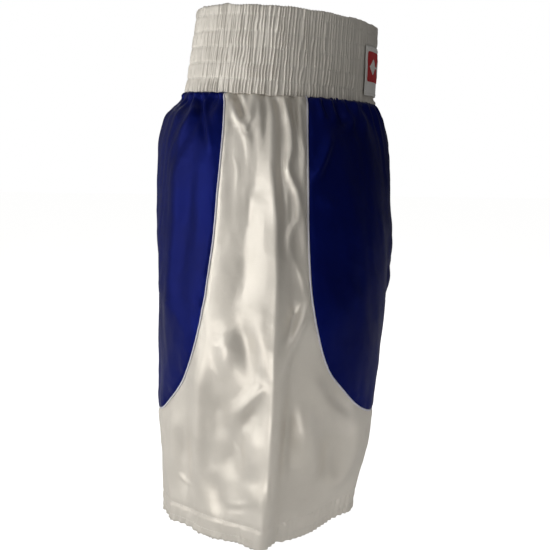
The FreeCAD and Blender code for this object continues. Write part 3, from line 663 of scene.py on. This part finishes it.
def cell(r, c):
    return [(r, c), (r + 1, c), (r + 1, c + 1), (r, c + 1)]


def crossing(field, a, b):
    """The edge in a fixed order and the share along it where the field is zero."""
    a, b = (a, b) if a < b else (b, a)
    return a, b, field[a] / (field[a] - field[b])


def split_grid(points, field, columns, gap, uv):
    """The grid beyond field = gap on gap's own side of zero, cut cleanly along it."""
    g = field - gap if gap > 0 else gap - field     # positive inside the piece
    g = np.where(np.abs(g) < 0.12, 0.12, g)         # no sliver faces
    inside = g > 0
    index, verts, uvs, faces = {}, [], [], []

    def add(key, vert, vert_uv):
        index[key] = len(verts)
        verts.append(vert)
        uvs.append(vert_uv)

    def corner(a):
        if a not in index:
            add(a, points[a], uv[a])
        return index[a]

    def cut(a, b):
        a, b, w = crossing(g, a, b)
        if (a, b) not in index:
            add((a, b), points[a] * (1 - w) + points[b] * w, uv[a] * (1 - w) + uv[b] * w)
        return index[a, b]

    for r in range(len(field) - 1):
        for c in columns:
            q = cell(r, c)
            poly = []
            for a, b in zip(q, q[1:] + q[:1]):
                if inside[a]:
                    poly.append(corner(a))
                if inside[a] != inside[b]:
                    poly.append(cut(a, b))
            if len(set(poly)) >= 3:
                faces.append(tuple(poly))
    return np.array(verts), faces, np.array(uvs)


def contour(leg, columns):
    """The seam line as an ordered path with normals, from the top."""
    linked, pos, nor = {}, {}, {}

    def point(a, b):
        a, b, w = crossing(leg.seam, a, b)
        pos[a, b] = leg.cloth[a] * (1 - w) + leg.cloth[b] * w
        nor[a, b] = leg.normals[a] * (1 - w) + leg.normals[b] * w
        return a, b

    for r in range(len(leg.seam) - 1):
        for c in columns:
            q = cell(r, c)
            hits = [point(a, b) for a, b in zip(q, q[1:] + q[:1])
                    if (leg.seam[a] > 0) != (leg.seam[b] > 0)]
            if len(hits) == 2:
                linked.setdefault(hits[0], []).append(hits[1])
                linked.setdefault(hits[1], []).append(hits[0])
    ends = [k for k, v in linked.items() if len(v) == 1]
    path, seen = [], set()
    current = min(ends, key=lambda k: -pos[k][2])
    while current is not None:
        path.append(current)
        seen.add(current)
        current = next((k for k in linked[current] if k not in seen), None)
    return np.array([pos[k] for k in path]), np.array([nor[k] for k in path])


def relax(path, rounds):
    for _ in range(rounds):
        path[1:-1] = 0.25 * path[:-2] + 0.5 * path[1:-1] + 0.25 * path[2:]
    return path


def tube_mesh(path, nor, radius, sides, closed=False, flat=1.0, swell=1.0):
    """A cord along the path. flat squashes it against the surface, swell varies its radius."""
    along = unit(np.gradient(path, axis=0))
    out = unit(nor - along * np.einsum("ij,ij->i", nor, along)[:, None])
    across = np.cross(along, out)
    count = len(path)
    radii = (radius * np.ones(count) * swell)[:, None]
    rings = []
    for i in range(sides):
        a = 2 * math.pi * i / sides
        rings.append(path + (across * math.cos(a) + out * (math.sin(a) * flat)) * radii)
    faces = flipped(grid_faces(count, sides, ring=True, closed=closed))
    if not closed:
        faces.append(tuple(range(sides)))
        faces.append(tuple((count - 1) * sides + i for i in reversed(range(sides))))
    return np.stack(rings, 1).reshape(-1, 3), faces


def join_parts(parts):
    verts, faces, offset = [], [], 0
    for v, f in parts:
        verts.append(v)
        faces += [tuple(i + offset for i in q) for q in f]
        offset += len(v)
    return np.concatenate(verts), faces


def overlock(path, nor, across, amp, pitch=3.0):
    """A zigzag thread along an edge."""
    length = run_length(path)
    s = np.arange(0, length[-1], pitch / 4.0)
    p, n, c = (sample(length, s, v) for v in (path, nor, across))
    zigzag = np.abs((s / pitch) % 1.0 * 2 - 1) * 2 - 1
    rise = 0.25 * np.cos(s / pitch * 4 * math.pi)
    return tube_mesh(p + c * (zigzag * amp)[:, None] + n * rise[:, None], n, 0.3, 5)


def dashes(path, nor, stitch, radius, gap=0.9, rise=0.25):
    """Separate stitches lying on the surface, their ends sunk into it."""
    length = run_length(path)
    lift = np.array([-0.35, rise * 0.8, rise, rise * 0.8, -0.35])
    parts, start = [], gap
    while start + stitch < length[-1]:
        s = np.linspace(start, start + stitch, 5)
        n = sample(length, s, nor)
        parts.append(tube_mesh(sample(length, s, path) + n * lift[:, None], n, radius, 6,
                               swell=np.array([0.6, 1, 1, 1, 0.6])))
        start += stitch + gap
    return join_parts(parts)


# ------------------------------------------------------------------ materials


class Graph:
    """A cleared node tree on a material or world, with short ways to add to it."""

    def __init__(self, block, output):
        block.use_nodes = True
        self.tree = block.node_tree
        self.tree.nodes.clear()
        self.out = self.add(output)

    def add(self, kind, inputs=(), **settings):
        node = self.tree.nodes.new(kind)
        for key, value in settings.items():
            setattr(node, key, value)
        for key, value in dict(inputs).items():
            self.feed(node.inputs[key], value)
        return node

    def feed(self, socket, value):
        if isinstance(value, bpy.types.NodeSocket):
            self.tree.links.new(value, socket)
        else:
            socket.default_value = value

    def math(self, op, a, b=0.0):
        return self.add("ShaderNodeMath", {0: a, 1: b}, operation=op).outputs[0]

    def plus(self, a, b):
        return self.math("ADD", a, b)

    def times(self, a, b):
        return self.math("MULTIPLY", a, b)

    def noise(self, vector, **inputs):
        values = {"Vector": vector, **inputs}
        return self.add("ShaderNodeTexNoise", values).outputs[0]


def cloth_material(name, light, dark, rough, metallic=0.0, aniso=0.0, weave=0.00045,
                   bump=0.25, sheen=0.1, spec=0.5, satin=True, fuzz=0.0):
    """Woven cloth. weave is the yarn pitch in metres, fuzz adds to the fine grain."""
    material = bpy.data.materials.new(name)
    g = Graph(material, "ShaderNodeOutputMaterial")
    uv = g.add("ShaderNodeUVMap", uv_map="cloth")
    place = g.add("ShaderNodeTexCoord").outputs["Object"]
    # colour: slow variation over the cloth and a trace of the yarn
    slow = g.noise(place, Scale=14.0, Detail=4.0, Roughness=0.55)
    grain = g.noise(place, Scale=900.0, Detail=2.0)
    split = g.add("ShaderNodeSeparateXYZ", {0: uv.outputs["UV"]})
    weft_pitch = weave * (4.0 if satin else 1.0)
    warp = g.math("SINE", g.times(split.outputs[0], 2 * math.pi / weave))
    weft = g.math("SINE", g.times(split.outputs[1], 2 * math.pi / weft_pitch))
    yarn = g.plus(g.times(warp, 0.5), g.times(weft, 0.22 if satin else 0.5))
    tone = g.plus(g.times(slow, 0.8), g.times(grain, 0.2))
    tone = g.plus(tone, g.times(yarn, 0.05))
    ramp = g.add("ShaderNodeValToRGB", {0: tone})
    for stop, (position, value) in zip(ramp.color_ramp.elements, ((0.3, 0.0), (0.7, 1.0))):
        stop.position = position
        stop.color = (value, value, value, 1)
    colour = g.add("ShaderNodeMix", {0: ramp.outputs[0], 6: dark + (1.0,), 7: light + (1.0,)},
                   data_type="RGBA").outputs[2]
    # roughness varies a little with the same two noises
    roughness = g.plus(g.plus(rough - 0.05, g.times(slow, 0.10)), g.times(grain, 0.04))
    # relief of the yarn, then soft handling creases, much larger than the yarn
    fine = g.noise(place, Scale=2600.0, Detail=1.0)
    yarn_relief = g.add("ShaderNodeBump", {
        "Strength": bump, "Distance": 0.00012,
        "Height": g.plus(g.times(yarn, 0.7), g.times(fine, 0.5 + fuzz))})
    creases = g.noise(place, Scale=60.0, Detail=3.0, Roughness=0.5, Distortion=0.6)
    relief = g.add("ShaderNodeBump", {"Strength": 0.22, "Distance": 0.0012,
                                      "Height": creases, "Normal": yarn_relief.outputs[0]})
    surface = g.add("ShaderNodeBsdfPrincipled", {
        "Base Color": colour, "Roughness": roughness, "Normal": relief.outputs[0],
        "Metallic": metallic, "Anisotropic": aniso, "Specular IOR Level": spec,
        "Sheen Weight": sheen, "Sheen Roughness": 0.45})
    if aniso > 0:
        tangent = g.add("ShaderNodeTangent", direction_type="UV_MAP", uv_map="cloth")
        g.feed(surface.inputs["Tangent"], tangent.outputs[0])
    g.feed(g.out.inputs[0], surface.outputs[0])
    return material


WHITE = cloth_material(
    "satin_white_weave", light=(0.72, 0.685, 0.63), dark=(0.63, 0.595, 0.54),
    rough=0.37, metallic=0.46, aniso=0.5, sheen=0.0)
BLUE = cloth_material(
    "satin_blue_weave", light=(0.0018, 0.007, 0.120), dark=(0.001, 0.004, 0.076),
    rough=0.37, metallic=0.5, aniso=0.5, sheen=0.0, spec=0.10)
BAND = cloth_material(
    "waistband_satin_weave", light=(0.70, 0.67, 0.62), dark=(0.59, 0.56, 0.51),
    rough=0.40, metallic=0.25, aniso=0.3, sheen=0.0)
PIPING = cloth_material(
    "piping_satin_weave", light=(0.66, 0.66, 0.74), dark=(0.58, 0.58, 0.66),
    rough=0.38, metallic=0.1, weave=0.0006, bump=0.4)
THREAD = cloth_material(
    "thread_twist", light=(0.74, 0.72, 0.68), dark=(0.55, 0.53, 0.49),
    rough=0.55, weave=0.0005, bump=0.6, fuzz=0.5, satin=False)
ELASTIC = cloth_material(
    "elastic_knit", light=(0.70, 0.69, 0.66), dark=(0.50, 0.49, 0.46),
    rough=0.7, weave=0.0012, bump=0.8, fuzz=0.4, satin=False)
LABEL = cloth_material(
    "label_taffeta", light=(0.80, 0.79, 0.77), dark=(0.70, 0.69, 0.67),
    rough=0.5, weave=0.0005, bump=0.5, satin=False)
LABEL_RED = cloth_material(
    "label_field_weave", light=(0.55, 0.006, 0.014), dark=(0.38, 0.003, 0.008),
    rough=0.62, weave=0.0007, bump=0.8, spec=0.12)
MOTIF = cloth_material(
    "label_motif_weave", light=(0.80, 0.78, 0.76), dark=(0.66, 0.64, 0.62),
    rough=0.45, weave=0.0007, bump=0.9)

# ------------------------------------------------------------------ legs


def frame_nodes(piece, leg):
    return ["%s_%s_%s" % (piece, leg.name, part) for part in ("hip", "fold", "leg")]


def panel(leg, piece, columns, gap, material):
    verts, faces, uv = split_grid(leg.cloth, leg.seam, columns, gap, leg.uv)
    if leg.side < 0:
        faces = [tuple(reversed(f)) for f in faces]
    verts, faces, uv = thicken(verts, faces, CLOTH_THICK, uv)
    obj = mesh_object("%s_%s_satin" % (piece, leg.name), verts, faces, material, uv)
    leg_piece(obj, frame_nodes(piece, leg))


def piping(leg, where, columns):
    """A cord along the seam line."""
    sides = 10
    path, nor = contour(leg, columns)
    length = run_length(relax(path, 6))
    even = np.linspace(0, length[-1], max(2, int(length[-1] / 1.6)))
    path = relax(sample(length, even, path), 3)
    nor = unit(sample(length, even, nor))
    count = len(path)
    verts, faces = tube_mesh(path + nor * 0.55, nor, 0.95, sides, flat=0.85,
                             swell=1 + 0.06 * np.sin(np.arange(count) * 0.9))
    uv = np.stack([np.repeat(np.arange(count) * 0.0016, sides),
                   np.tile(np.arange(sides) * 0.0006, count)], 1)
    obj = mesh_object("piping_%s_%s_cord" % (where, leg.name), verts, faces, PIPING, uv)
    orient(obj)
    leg_piece(obj, frame_nodes("piping_" + where, leg))


def leg_thread(leg, piece, mesh):
    obj = mesh_object("%s_%s_thread" % (piece, leg.name), *mesh, THREAD)
    orient(obj)
    leg_piece(obj, ["%s_%s" % (piece, leg.name)])


def hem_stitching(leg):
    """One row at the top of the turned hem, one close to the edge."""
    cols = np.arange(leg.columns)
    parts = []
    for height in HEM_ROWS:
        rows = np.argmin(np.abs(leg.form[:FINE_ROWS, :, 2] - height), axis=0)
        path = leg.cloth[rows, cols]
        moved = path[:, 2] - leg.form[rows, cols, 2]
        path[:, 2] = 0.3 * path[:, 2] + 0.7 * (height + moved)
        parts.append(dashes(relax(path, 2), leg.normals[rows, cols], 2.6, radius=0.27))
    leg_thread(leg, "hem_stitching", join_parts(parts))


def rows_between(leg, low, high):
    z = leg.form[:FINE_ROWS, 0, 2]
    return np.where((low < z) & (z < high))[0]


def inseam_stitching(leg):
    """Overlock on the inseam, inside the leg."""
    rows = rows_between(leg, -488.0, -242.0)
    path = (leg.cloth[rows, 0] + leg.cloth[rows, -1]) / 2
    inward = np.tile([float(leg.side), 0.0, 0.0], (len(rows), 1))
    across = np.tile([0.0, 1.0, 0.0], (len(rows), 1))
    leg_thread(leg, "inseam_stitching", overlock(path + inward * 2.0, inward, across, 2.2))


def rise_stitching(leg):
    """Overlock on the rise seam, inside, on the centre plane."""
    rows = rows_between(leg, -226.0, -6.0)
    parts = []
    for column, inward in ((0, 1.0), (-1, -1.0)):
        path = leg.cloth[rows, column] * [0, 1, 1] + [0, 2.6 * inward, 0]
        nor = np.tile([0.0, inward, 0.0], (len(rows), 1))
        across = np.tile([1.0, 0.0, 0.0], (len(rows), 1))
        parts.append(overlock(path, nor, across, 2.0))
    closed_piece("rise_seam_stitching_thread", *join_parts(parts), THREAD,
                 "rise_seam_stitching", "thread")


def build_leg(name, side, form):
    leg = leg_cloth(name, side, form)
    front, back = range(leg.mid), range(leg.mid, leg.columns - 1)
    panel(leg, "front_panel", front, -PANEL_GAP, BLUE)
    panel(leg, "back_panel", back, -PANEL_GAP, BLUE)
    panel(leg, "side_panel", range(leg.columns - 1), PANEL_GAP, WHITE)
    piping(leg, "front", front)
    piping(leg, "back", back)
    hem_stitching(leg)
    inseam_stitching(leg)
    return leg


FORM = pressed(base_grid())
legs = [build_leg(name, side, FORM) for name, side in SIDES]
rise_stitching(legs[0])

# ------------------------------------------------------------------ waistband


def band_surface(share, angle, grow):
    """The band's smooth form: share runs up it, angle from +X round by the back."""
    share, angle = np.broadcast_arrays(np.asarray(share, float), np.asarray(angle, float))
    half_x, half_y = 140.0 - 4.0 * share + grow, 115.0 - 6.2 * share + grow
    mid_y = -0.5 - 9.3 * share
    tilt = np.radians(3.9 + 1.7 * share)
    x, y = half_x * np.cos(angle), half_y * np.sin(angle)
    return np.stack([x, mid_y + y * np.cos(tilt),
                     BAND_HEIGHT * share + np.tan(tilt) * mid_y + y * np.sin(tilt)], -1)


def band_normal(share, angle):
    return band_surface(share, angle, 1.0) - band_surface(share, angle, 0.0)


def under_label(p):
    """1 under the front label."""
    return (smooth(66, 62, np.abs(p[..., 0])) * smooth(-5, -1, p[..., 2])
            * smooth(63, 59, p[..., 2]) * (p[..., 1] < 0))


def ruche(share, angle):
    """Height of the gathered casing over its smooth form."""
    surface = band_surface(share, angle, 2.0)
    height = share * BAND_HEIGHT
    p = surface.copy()
    p[..., 2] = height
    # each zone between two stitch rows gathers a little differently
    phase = RIBS * angle + 2.0 * noise(p, 11, 40, 61) + 0.8 * noise(p, 4, 8, 63)
    zone, pinch = 0, 0
    for k, row in enumerate(STITCH_ROWS):
        passed = smooth(row - 2.0, row + 2.0, height)
        phase = phase + passed * 1.5 * noise(p, 5.5, FLAT, 100 + k)
        zone = zone + passed
        pinch = pinch + bell(height - row, 1.3)
    rib = (0.5 + 0.5 * np.cos(phase)) ** 1.6
    half_rib = 0.5 + 0.5 * np.cos(phase / 2 + 1.6 * noise(p, 14, 30, 65))
    amp = (0.95 + 0.75 * noise3(p[..., 0] / 5, p[..., 1] / 5, zone * 0.9, 67)
           + 0.35 * noise(p, 17, 30, 68))
    low = smooth(14, 5, height)         # fuller below the first row
    amp = np.clip(amp, 0.15, 1.8) * (1 + 0.55 * low)
    h = amp * rib + (0.45 + 0.5 * low) * half_rib
    # drawn in at the stitches, swelling between them
    pinch = np.clip(pinch, 0, 1) * (0.75 + 0.25 * noise(p, 20, 10, 70))
    h = h * (1 - 0.5 * pinch) - 0.3 * pinch
    swell = np.sin(np.pi * ((height - FIRST_ROW) % ROW_PITCH) / ROW_PITCH) ** 2
    h = h + 0.45 * noise(p, 24, 15, 69) + 0.15 * swell
    covered = under_label(surface)
    return h * (1 - 0.75 * covered) - 0.5 * covered


def waistband_casing():
    """Outer face from the seam up, over the top edge and down the inner face."""
    count = RIBS * 7
    angle = np.linspace(0, 2 * math.pi, count, endpoint=False)
    top = 0.985
    share = np.concatenate([np.linspace(0.0, 0.16, 14, endpoint=False),
                            np.linspace(0.16, top, 50)])[:, None]
    p = band_surface(share, angle, 0.9)
    outer = p + band_normal(share, angle) * ruche(share, angle)[..., None]
    uneven_top = (1.3 * noise(p, 24, FLAT, 71) + 0.6 * noise(p, 7, FLAT, 72)
                  + 0.35 * np.cos(RIBS * angle))
    uneven_foot = 0.9 * noise(p, 7, FLAT, 73) - 0.4
    outer[..., 2] += uneven_top * smooth(0.86, 1.0, share)
    outer[..., 2] += uneven_foot * smooth(0.05, 0.0, share)
    # (out, up) steps over the top edge
    over = [outer[-1] + band_normal(top, angle) * out + np.array([0, 0, up])
            for out, up in ((-0.5, 1.3), (-1.7, 2.0), (-3.0, 1.6), (-3.9, 0.5))]
    share = np.linspace(0.96, 0.0, 22)[:, None]
    height = 0.55 * ruche(share, angle + 0.011)
    inner = (band_surface(share, angle, -2.1)
             - band_normal(share, angle) * height[..., None])
    grid = np.concatenate([outer, over, inner])
    uv = np.zeros(grid.shape[:2] + (2,))
    uv[..., 0] = angle * BAND_UV_RADIUS * 1.6       # 1.6: cloth taken up by the gathers
    uv[..., 1] = (run_length(grid[:, 0]) * MM)[:, None]
    closed_piece("waistband_casing_ruched", grid.reshape(-1, 3),
                 grid_faces(len(grid), count, ring=True, closed=True), BAND,
                 "waistband_casing", "waistband_satin", uv=uv.reshape(-1, 2))


def waistband_stitching():
    """The thread follows the gathers; all but the top row stop beside the front label."""
    parts = []
    for row in STITCH_ROWS:
        whole = row == STITCH_ROWS[-1]
        if whole:
            angle = np.linspace(0, 2 * math.pi, 1000, endpoint=False)
        else:
            angle = np.linspace(-math.pi / 2 + 0.50, 1.5 * math.pi - 0.50, 900)
        share = row / BAND_HEIGHT
        n = band_normal(share, angle)
        path = band_surface(share, angle, 0.9) + n * (ruche(share, angle) + 0.12)[:, None]
        parts.append(tube_mesh(path, n, 0.22, 6, closed=whole))
    closed_piece("waistband_stitching_thread", *join_parts(parts), THREAD,
                 "waistband_stitching", "thread")


def waist_seam_allowance():
    """Turned allowance below the waist seam and its overlock, inside."""
    count = 720
    angle = np.linspace(0, 2 * math.pi, count, endpoint=False)
    rings = []
    for drop, grow in ((2.5, -3.2), (-1.0, -3.7), (-5.0, -4.2), (-9.0, -4.6)):
        p = band_surface(0.0, angle, grow)
        p[:, 2] += drop
        ripple = 0.7 * np.cos(angle * 64 + 2 * noise(p, 20, FLAT, 75))
        ripple = ripple * (1 if drop < 0 else 0.3)
        rings.append(p + unit(p) * ripple[:, None] * [1, 1, 0])
    verts, faces, _ = thicken(np.concatenate(rings),
                              flipped(grid_faces(len(rings), count, ring=True)), 0.5)
    edge = np.concatenate([rings[2], rings[2][:1]])
    outward = unit(edge) * [1, 1, 0]
    zigzag = overlock(edge - outward * 0.9, -outward,
                      np.tile([0.0, 0.0, 1.0], (len(edge), 1)), 2.6, pitch=3.4)
    closed_piece("waist_seam_allowance_overlocked", *join_parts([(verts, faces), zigzag]),
                 THREAD, "waist_seam_stitching", "thread")


waistband_casing()
waistband_stitching()
waist_seam_allowance()

# ------------------------------------------------------------------ labels
LABEL_MID = 35.0            # height of the middle of the field and the motif


def band_point(x, z, grow, face):
    """The point on the band at this width and height; face is -1 in front, 1 at the back."""
    share = z / BAND_HEIGHT
    for _ in range(6):
        angle = face * np.arccos(np.clip(x / (140.0 - 4.0 * share + grow), -1, 1))
        p = band_surface(share, angle, grow)
        share = share + (z - p[..., 2]) / BAND_HEIGHT
    return p


def label_surface(x, z, grow):
    """Slightly wavy surface over the band's front, with its normals."""
    p = band_point(x, z, grow, -1)
    n = p - band_point(x, z, grow - 1.0, -1)
    wavy = 0.28 * (noise3(x / 9, z / 11, 0, 81) + 0.5 * noise3(x / 4, z / 5, 0, 83))
    return p + n * wavy[..., None], n


def whole_sheet(x, z):
    return np.full(x.shape, 5.0)


def field_outline(x, z):
    """Rounded rectangle, 57 by 17 half size."""
    radius = 3.0
    return radius - np.hypot(np.maximum(np.abs(x) - (57.0 - radius), 0),
                             np.maximum(np.abs(z - LABEL_MID) - (17.0 - radius), 0))


def motif_outline(x, z):
    """A middle lozenge with a smaller one joined on each side."""
    half_height = np.interp(np.abs(x), [0, 14, 27, 39, 51], [11, 1, 1, 9, 0])
    return (half_height - np.abs(z - LABEL_MID)) * 0.75


def label_layer(piece, half_width, bottom, top, grow, thick, step, outline, material, slot):
    """One woven layer of the front label; the outline field is positive inside."""
    x, z = np.meshgrid(np.linspace(-half_width, half_width, int(2 * half_width / step) | 1),
                       np.linspace(top, bottom, int((top - bottom) / step) | 1))
    p, _ = label_surface(x, z, grow)
    verts, faces, uv = split_grid(p, outline(x, z), range(x.shape[1] - 1), 0.01,
                                  np.stack([x, z], -1) * MM)
    verts, faces, uv = thicken(verts, [tuple(reversed(f)) for f in faces], -thick, uv)
    closed_piece(piece + "_woven", verts, faces, material, piece, slot, uv=uv)


def label_stitching():
    x, low, high = 59.5, 4.5, 55.5
    corners = [(-x, low), (x, low), (x, high), (-x, high)]
    along = np.linspace(0, 1, 90)
    parts = []
    for (xa, za), (xb, zb) in zip(corners, corners[1:] + corners[:1]):
        p, n = label_surface(xa + (xb - xa) * along, za + (zb - za) * along, 3.12)
        parts.append(dashes(p, n, 2.3, radius=0.26))
    closed_piece("front_label_stitching_thread", *join_parts(parts), THREAD,
                 "front_label_stitching", "thread")


def label_tape(name, p, sheet, thick, node, carrier):
    """A thin label through a grid of points, with its flat coordinates in sheet."""
    verts, faces, uv = thicken(p.reshape(-1, 3), grid_faces(*p.shape[:2]), thick,
                               np.stack(sheet, -1).reshape(-1, 2) * MM)
    closed_piece(name, verts, faces, LABEL, node, "label_cloth", uv=uv, carrier=carrier)


def care_label():
    """A tape hanging inside, curling towards -X as it falls."""
    lo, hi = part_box("care_label")
    width, length = (hi.y - lo.y) / MM, (hi.z - lo.z) / MM
    y, down = np.meshgrid(np.linspace(-width / 2, width / 2, 23), np.linspace(0, length, 40))
    curl = 5.0 * (down / length) ** 2 * (1 + 0.25 * np.sin(y / 7.0))
    ripple = 0.9 * np.sin(down / 9.0 + y / 21.0) * smooth(0, 14, down)
    p = np.stack([lo.x / MM + 0.12 - curl - ripple, y + 0.6 * np.sin(down / 13.0),
                  hi.z / MM - down], -1)
    label_tape("care_label_tape", p, (y, down), 0.28, "care_label", "care_label")


def size_label():
    """A small label inside the back of the band."""
    x, z = np.meshgrid(np.linspace(-13, 13, 21), np.linspace(58.0, 40.0, 15))
    p = band_point(x, z, -3.9, 1)
    p[..., 1] += 0.25 * noise3(x / 6, z / 6, 0, 91)
    label_tape("size_label_woven", p, (x, z), 0.4, "size_label", "seat")


label_layer("front_label_patch", half_width=62.0, bottom=2.0, top=58.0, grow=3.0, thick=0.7,
            step=1.5, outline=whole_sheet, material=LABEL, slot="label_cloth")
label_layer("front_label_field", half_width=58.0, bottom=17.0, top=53.0, grow=3.4, thick=0.32,
            step=1.0, outline=field_outline, material=LABEL_RED, slot="label_field")
label_layer("front_label_motif", half_width=52.5, bottom=23.0, top=47.0, grow=3.72, thick=0.26,
            step=0.8, outline=motif_outline, material=MOTIF, slot="label_motif")
label_stitching()
care_label()
size_label()


def waistband_elastic():
    """The elastic: a corded tape inside the casing."""
    count = 420
    angle = np.linspace(0, 2 * math.pi, count, endpoint=False)
    up, down = np.linspace(0.03, 0.955, 80), np.linspace(0.955, 0.03, 20)
    cords = 0.1 + 0.12 * wave(up * BAND_HEIGHT / 6.0)
    grow = np.concatenate([cords, np.full(len(down), -1.1)])
    grid = band_surface(np.concatenate([up, down])[:, None], angle, grow[:, None])
    uv = np.zeros(grid.shape[:2] + (2,))
    uv[..., 0] = angle * BAND_UV_RADIUS
    uv[..., 1] = (np.arange(len(grid)) * 0.00115)[:, None]
    closed_piece("waistband_elastic_tape", grid.reshape(-1, 3),
                 grid_faces(len(grid), count, ring=True, closed=True), ELASTIC,
                 "waistband_elastic", "elastic", uv=uv.reshape(-1, 2))


waistband_elastic()
# frame pieces that still show are given the thread
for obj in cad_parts.values():
    if not obj.hide_render:
        obj.data.materials.clear()
        obj.data.materials.append(THREAD)

# ------------------------------------------------------------------ stage, light, camera


def floor_material():
    """Pale floor that glows for the camera but barely lights the cloth."""
    material = bpy.data.materials.new("floor_pale")
    g = Graph(material, "ShaderNodeOutputMaterial")
    camera_ray = g.add("ShaderNodeLightPath").outputs["Is Camera Ray"]
    bump = g.add("ShaderNodeBump", {
        "Strength": 0.02, "Height": g.add("ShaderNodeTexNoise", {"Scale": 3.0}).outputs[0]})
    surface = g.add("ShaderNodeBsdfPrincipled", {
        "Base Color": (0.8, 0.8, 0.8, 1), "Roughness": 0.9,
        "Emission Color": (1, 1, 1, 1),
        "Emission Strength": g.plus(0.05, g.times(camera_ray, 0.78)),
        "Normal": bump.outputs[0]})
    g.feed(g.out.inputs[0], surface.outputs[0])
    return material


def build_floor(reach=6.0, z=-0.62):
    mesh = bpy.data.meshes.new("floor")
    corners = [(-reach, -reach, z), (reach, -reach, z), (reach, reach, z), (-reach, reach, z)]
    mesh.from_pydata(corners, [], [(0, 1, 2, 3)])
    mesh.materials.append(floor_material())
    floor = bpy.data.objects.new("floor", mesh)
    scene.collection.objects.link(floor)


def build_world():
    """White to the camera; otherwise a dim sky, brightest high behind the right side."""
    world = bpy.data.worlds.new("studio")
    scene.world = world
    g = Graph(world, "ShaderNodeOutputWorld")
    direction = g.add("ShaderNodeTexCoord").outputs["Generated"]
    toward = g.add("ShaderNodeVectorMath", operation="DOT_PRODUCT",
                   inputs={0: direction, 1: Vector((-0.45, 0.75, 0.45)).normalized()})
    strength = g.add("ShaderNodeMapRange", {
        "From Min": -1.0, "From Max": 1.0, "To Min": 0.02, "To Max": 0.30,
        "Value": toward.outputs["Value"]})
    sky = g.add("ShaderNodeBackground", {"Color": (1.0, 0.985, 0.95, 1),
                                         "Strength": strength.outputs[0]})
    white = g.add("ShaderNodeBackground", {"Color": (1, 1, 1, 1), "Strength": 1.0})
    camera_ray = g.add("ShaderNodeLightPath").outputs["Is Camera Ray"]
    mix = g.add("ShaderNodeMixShader", {0: camera_ray, 1: sky.outputs[0],
                                        2: white.outputs[0]})
    g.feed(g.out.inputs[0], mix.outputs[0])


def area(name, at, power, size, color, size_y=None, target=(0, 0, -0.2), glossy=True):
    light = bpy.data.lights.new(name, "AREA")
    light.energy = power
    light.color = color
    light.size = size
    if size_y:
        light.shape = "RECTANGLE"
        light.size_y = size_y
    obj = bpy.data.objects.new(name, light)
    obj.location = at
    obj.rotation_euler = (Vector(target) - Vector(at)).to_track_quat("-Z", "Y").to_euler()
    obj.visible_camera = False
    obj.visible_glossy = glossy
    scene.collection.objects.link(obj)
    return light


def build_lights():
    key_color, soft_color = (1.0, 0.985, 0.95), (1.0, 0.98, 0.96)
    area("key", at=(-0.72, 1.64, 0.10), power=9.0, size=0.6, size_y=1.1, color=key_color)
    area("key_soft", at=(-0.80, 1.60, 0.05), power=6.9, size=1.2, color=key_color,
         glossy=False)
    area("camera_fill", at=(-1.6, 0.35, 0.75), power=2.0, size=0.35, color=(1.0, 0.98, 0.95),
         target=(0, 0, -0.25))
    area("low_bounce", at=(-1.25, 0.75, -0.50), power=3.0, size=0.5, size_y=0.25,
         color=(1.0, 0.97, 0.92), target=(0, 0, -0.4))
    fill = area("front_fill", at=(-0.85, -1.15, -0.50), power=0.26, size=0.5, size_y=0.2,
                color=(1.0, 0.97, 0.93), target=(-0.12, -0.03, -0.46), glossy=False)
    fill.spread = math.radians(32)
    area("front_soft", at=(-0.1, -1.8, 0.9), power=2.2, size=1.2, color=soft_color,
         glossy=False)
    area("far_side", at=(1.35, 0.25, 0.6), power=7, size=1.0, color=soft_color)


def build_camera():
    camera = bpy.data.cameras.new("camera")
    camera.lens = 50.66
    camera.sensor_width = 36.0
    camera.clip_end = 50
    obj = bpy.data.objects.new("camera", camera)
    forward = Vector(FORWARD - LENS_TURN * ACROSS).normalized()
    right = forward.cross(Vector((0, 0, 1))).normalized()
    axes = (right, right.cross(forward), -forward, Vector(CAMERA * MM))
    rows = [tuple(axis[k] for axis in axes) for k in range(3)]
    obj.matrix_world = Matrix(rows + [(0, 0, 0, 1)])
    scene.collection.objects.link(obj)
    scene.camera = obj


build_floor()
build_world()
build_lights()
build_camera()
scene.view_settings.view_transform = "Standard"
scene.view_settings.look = "None"
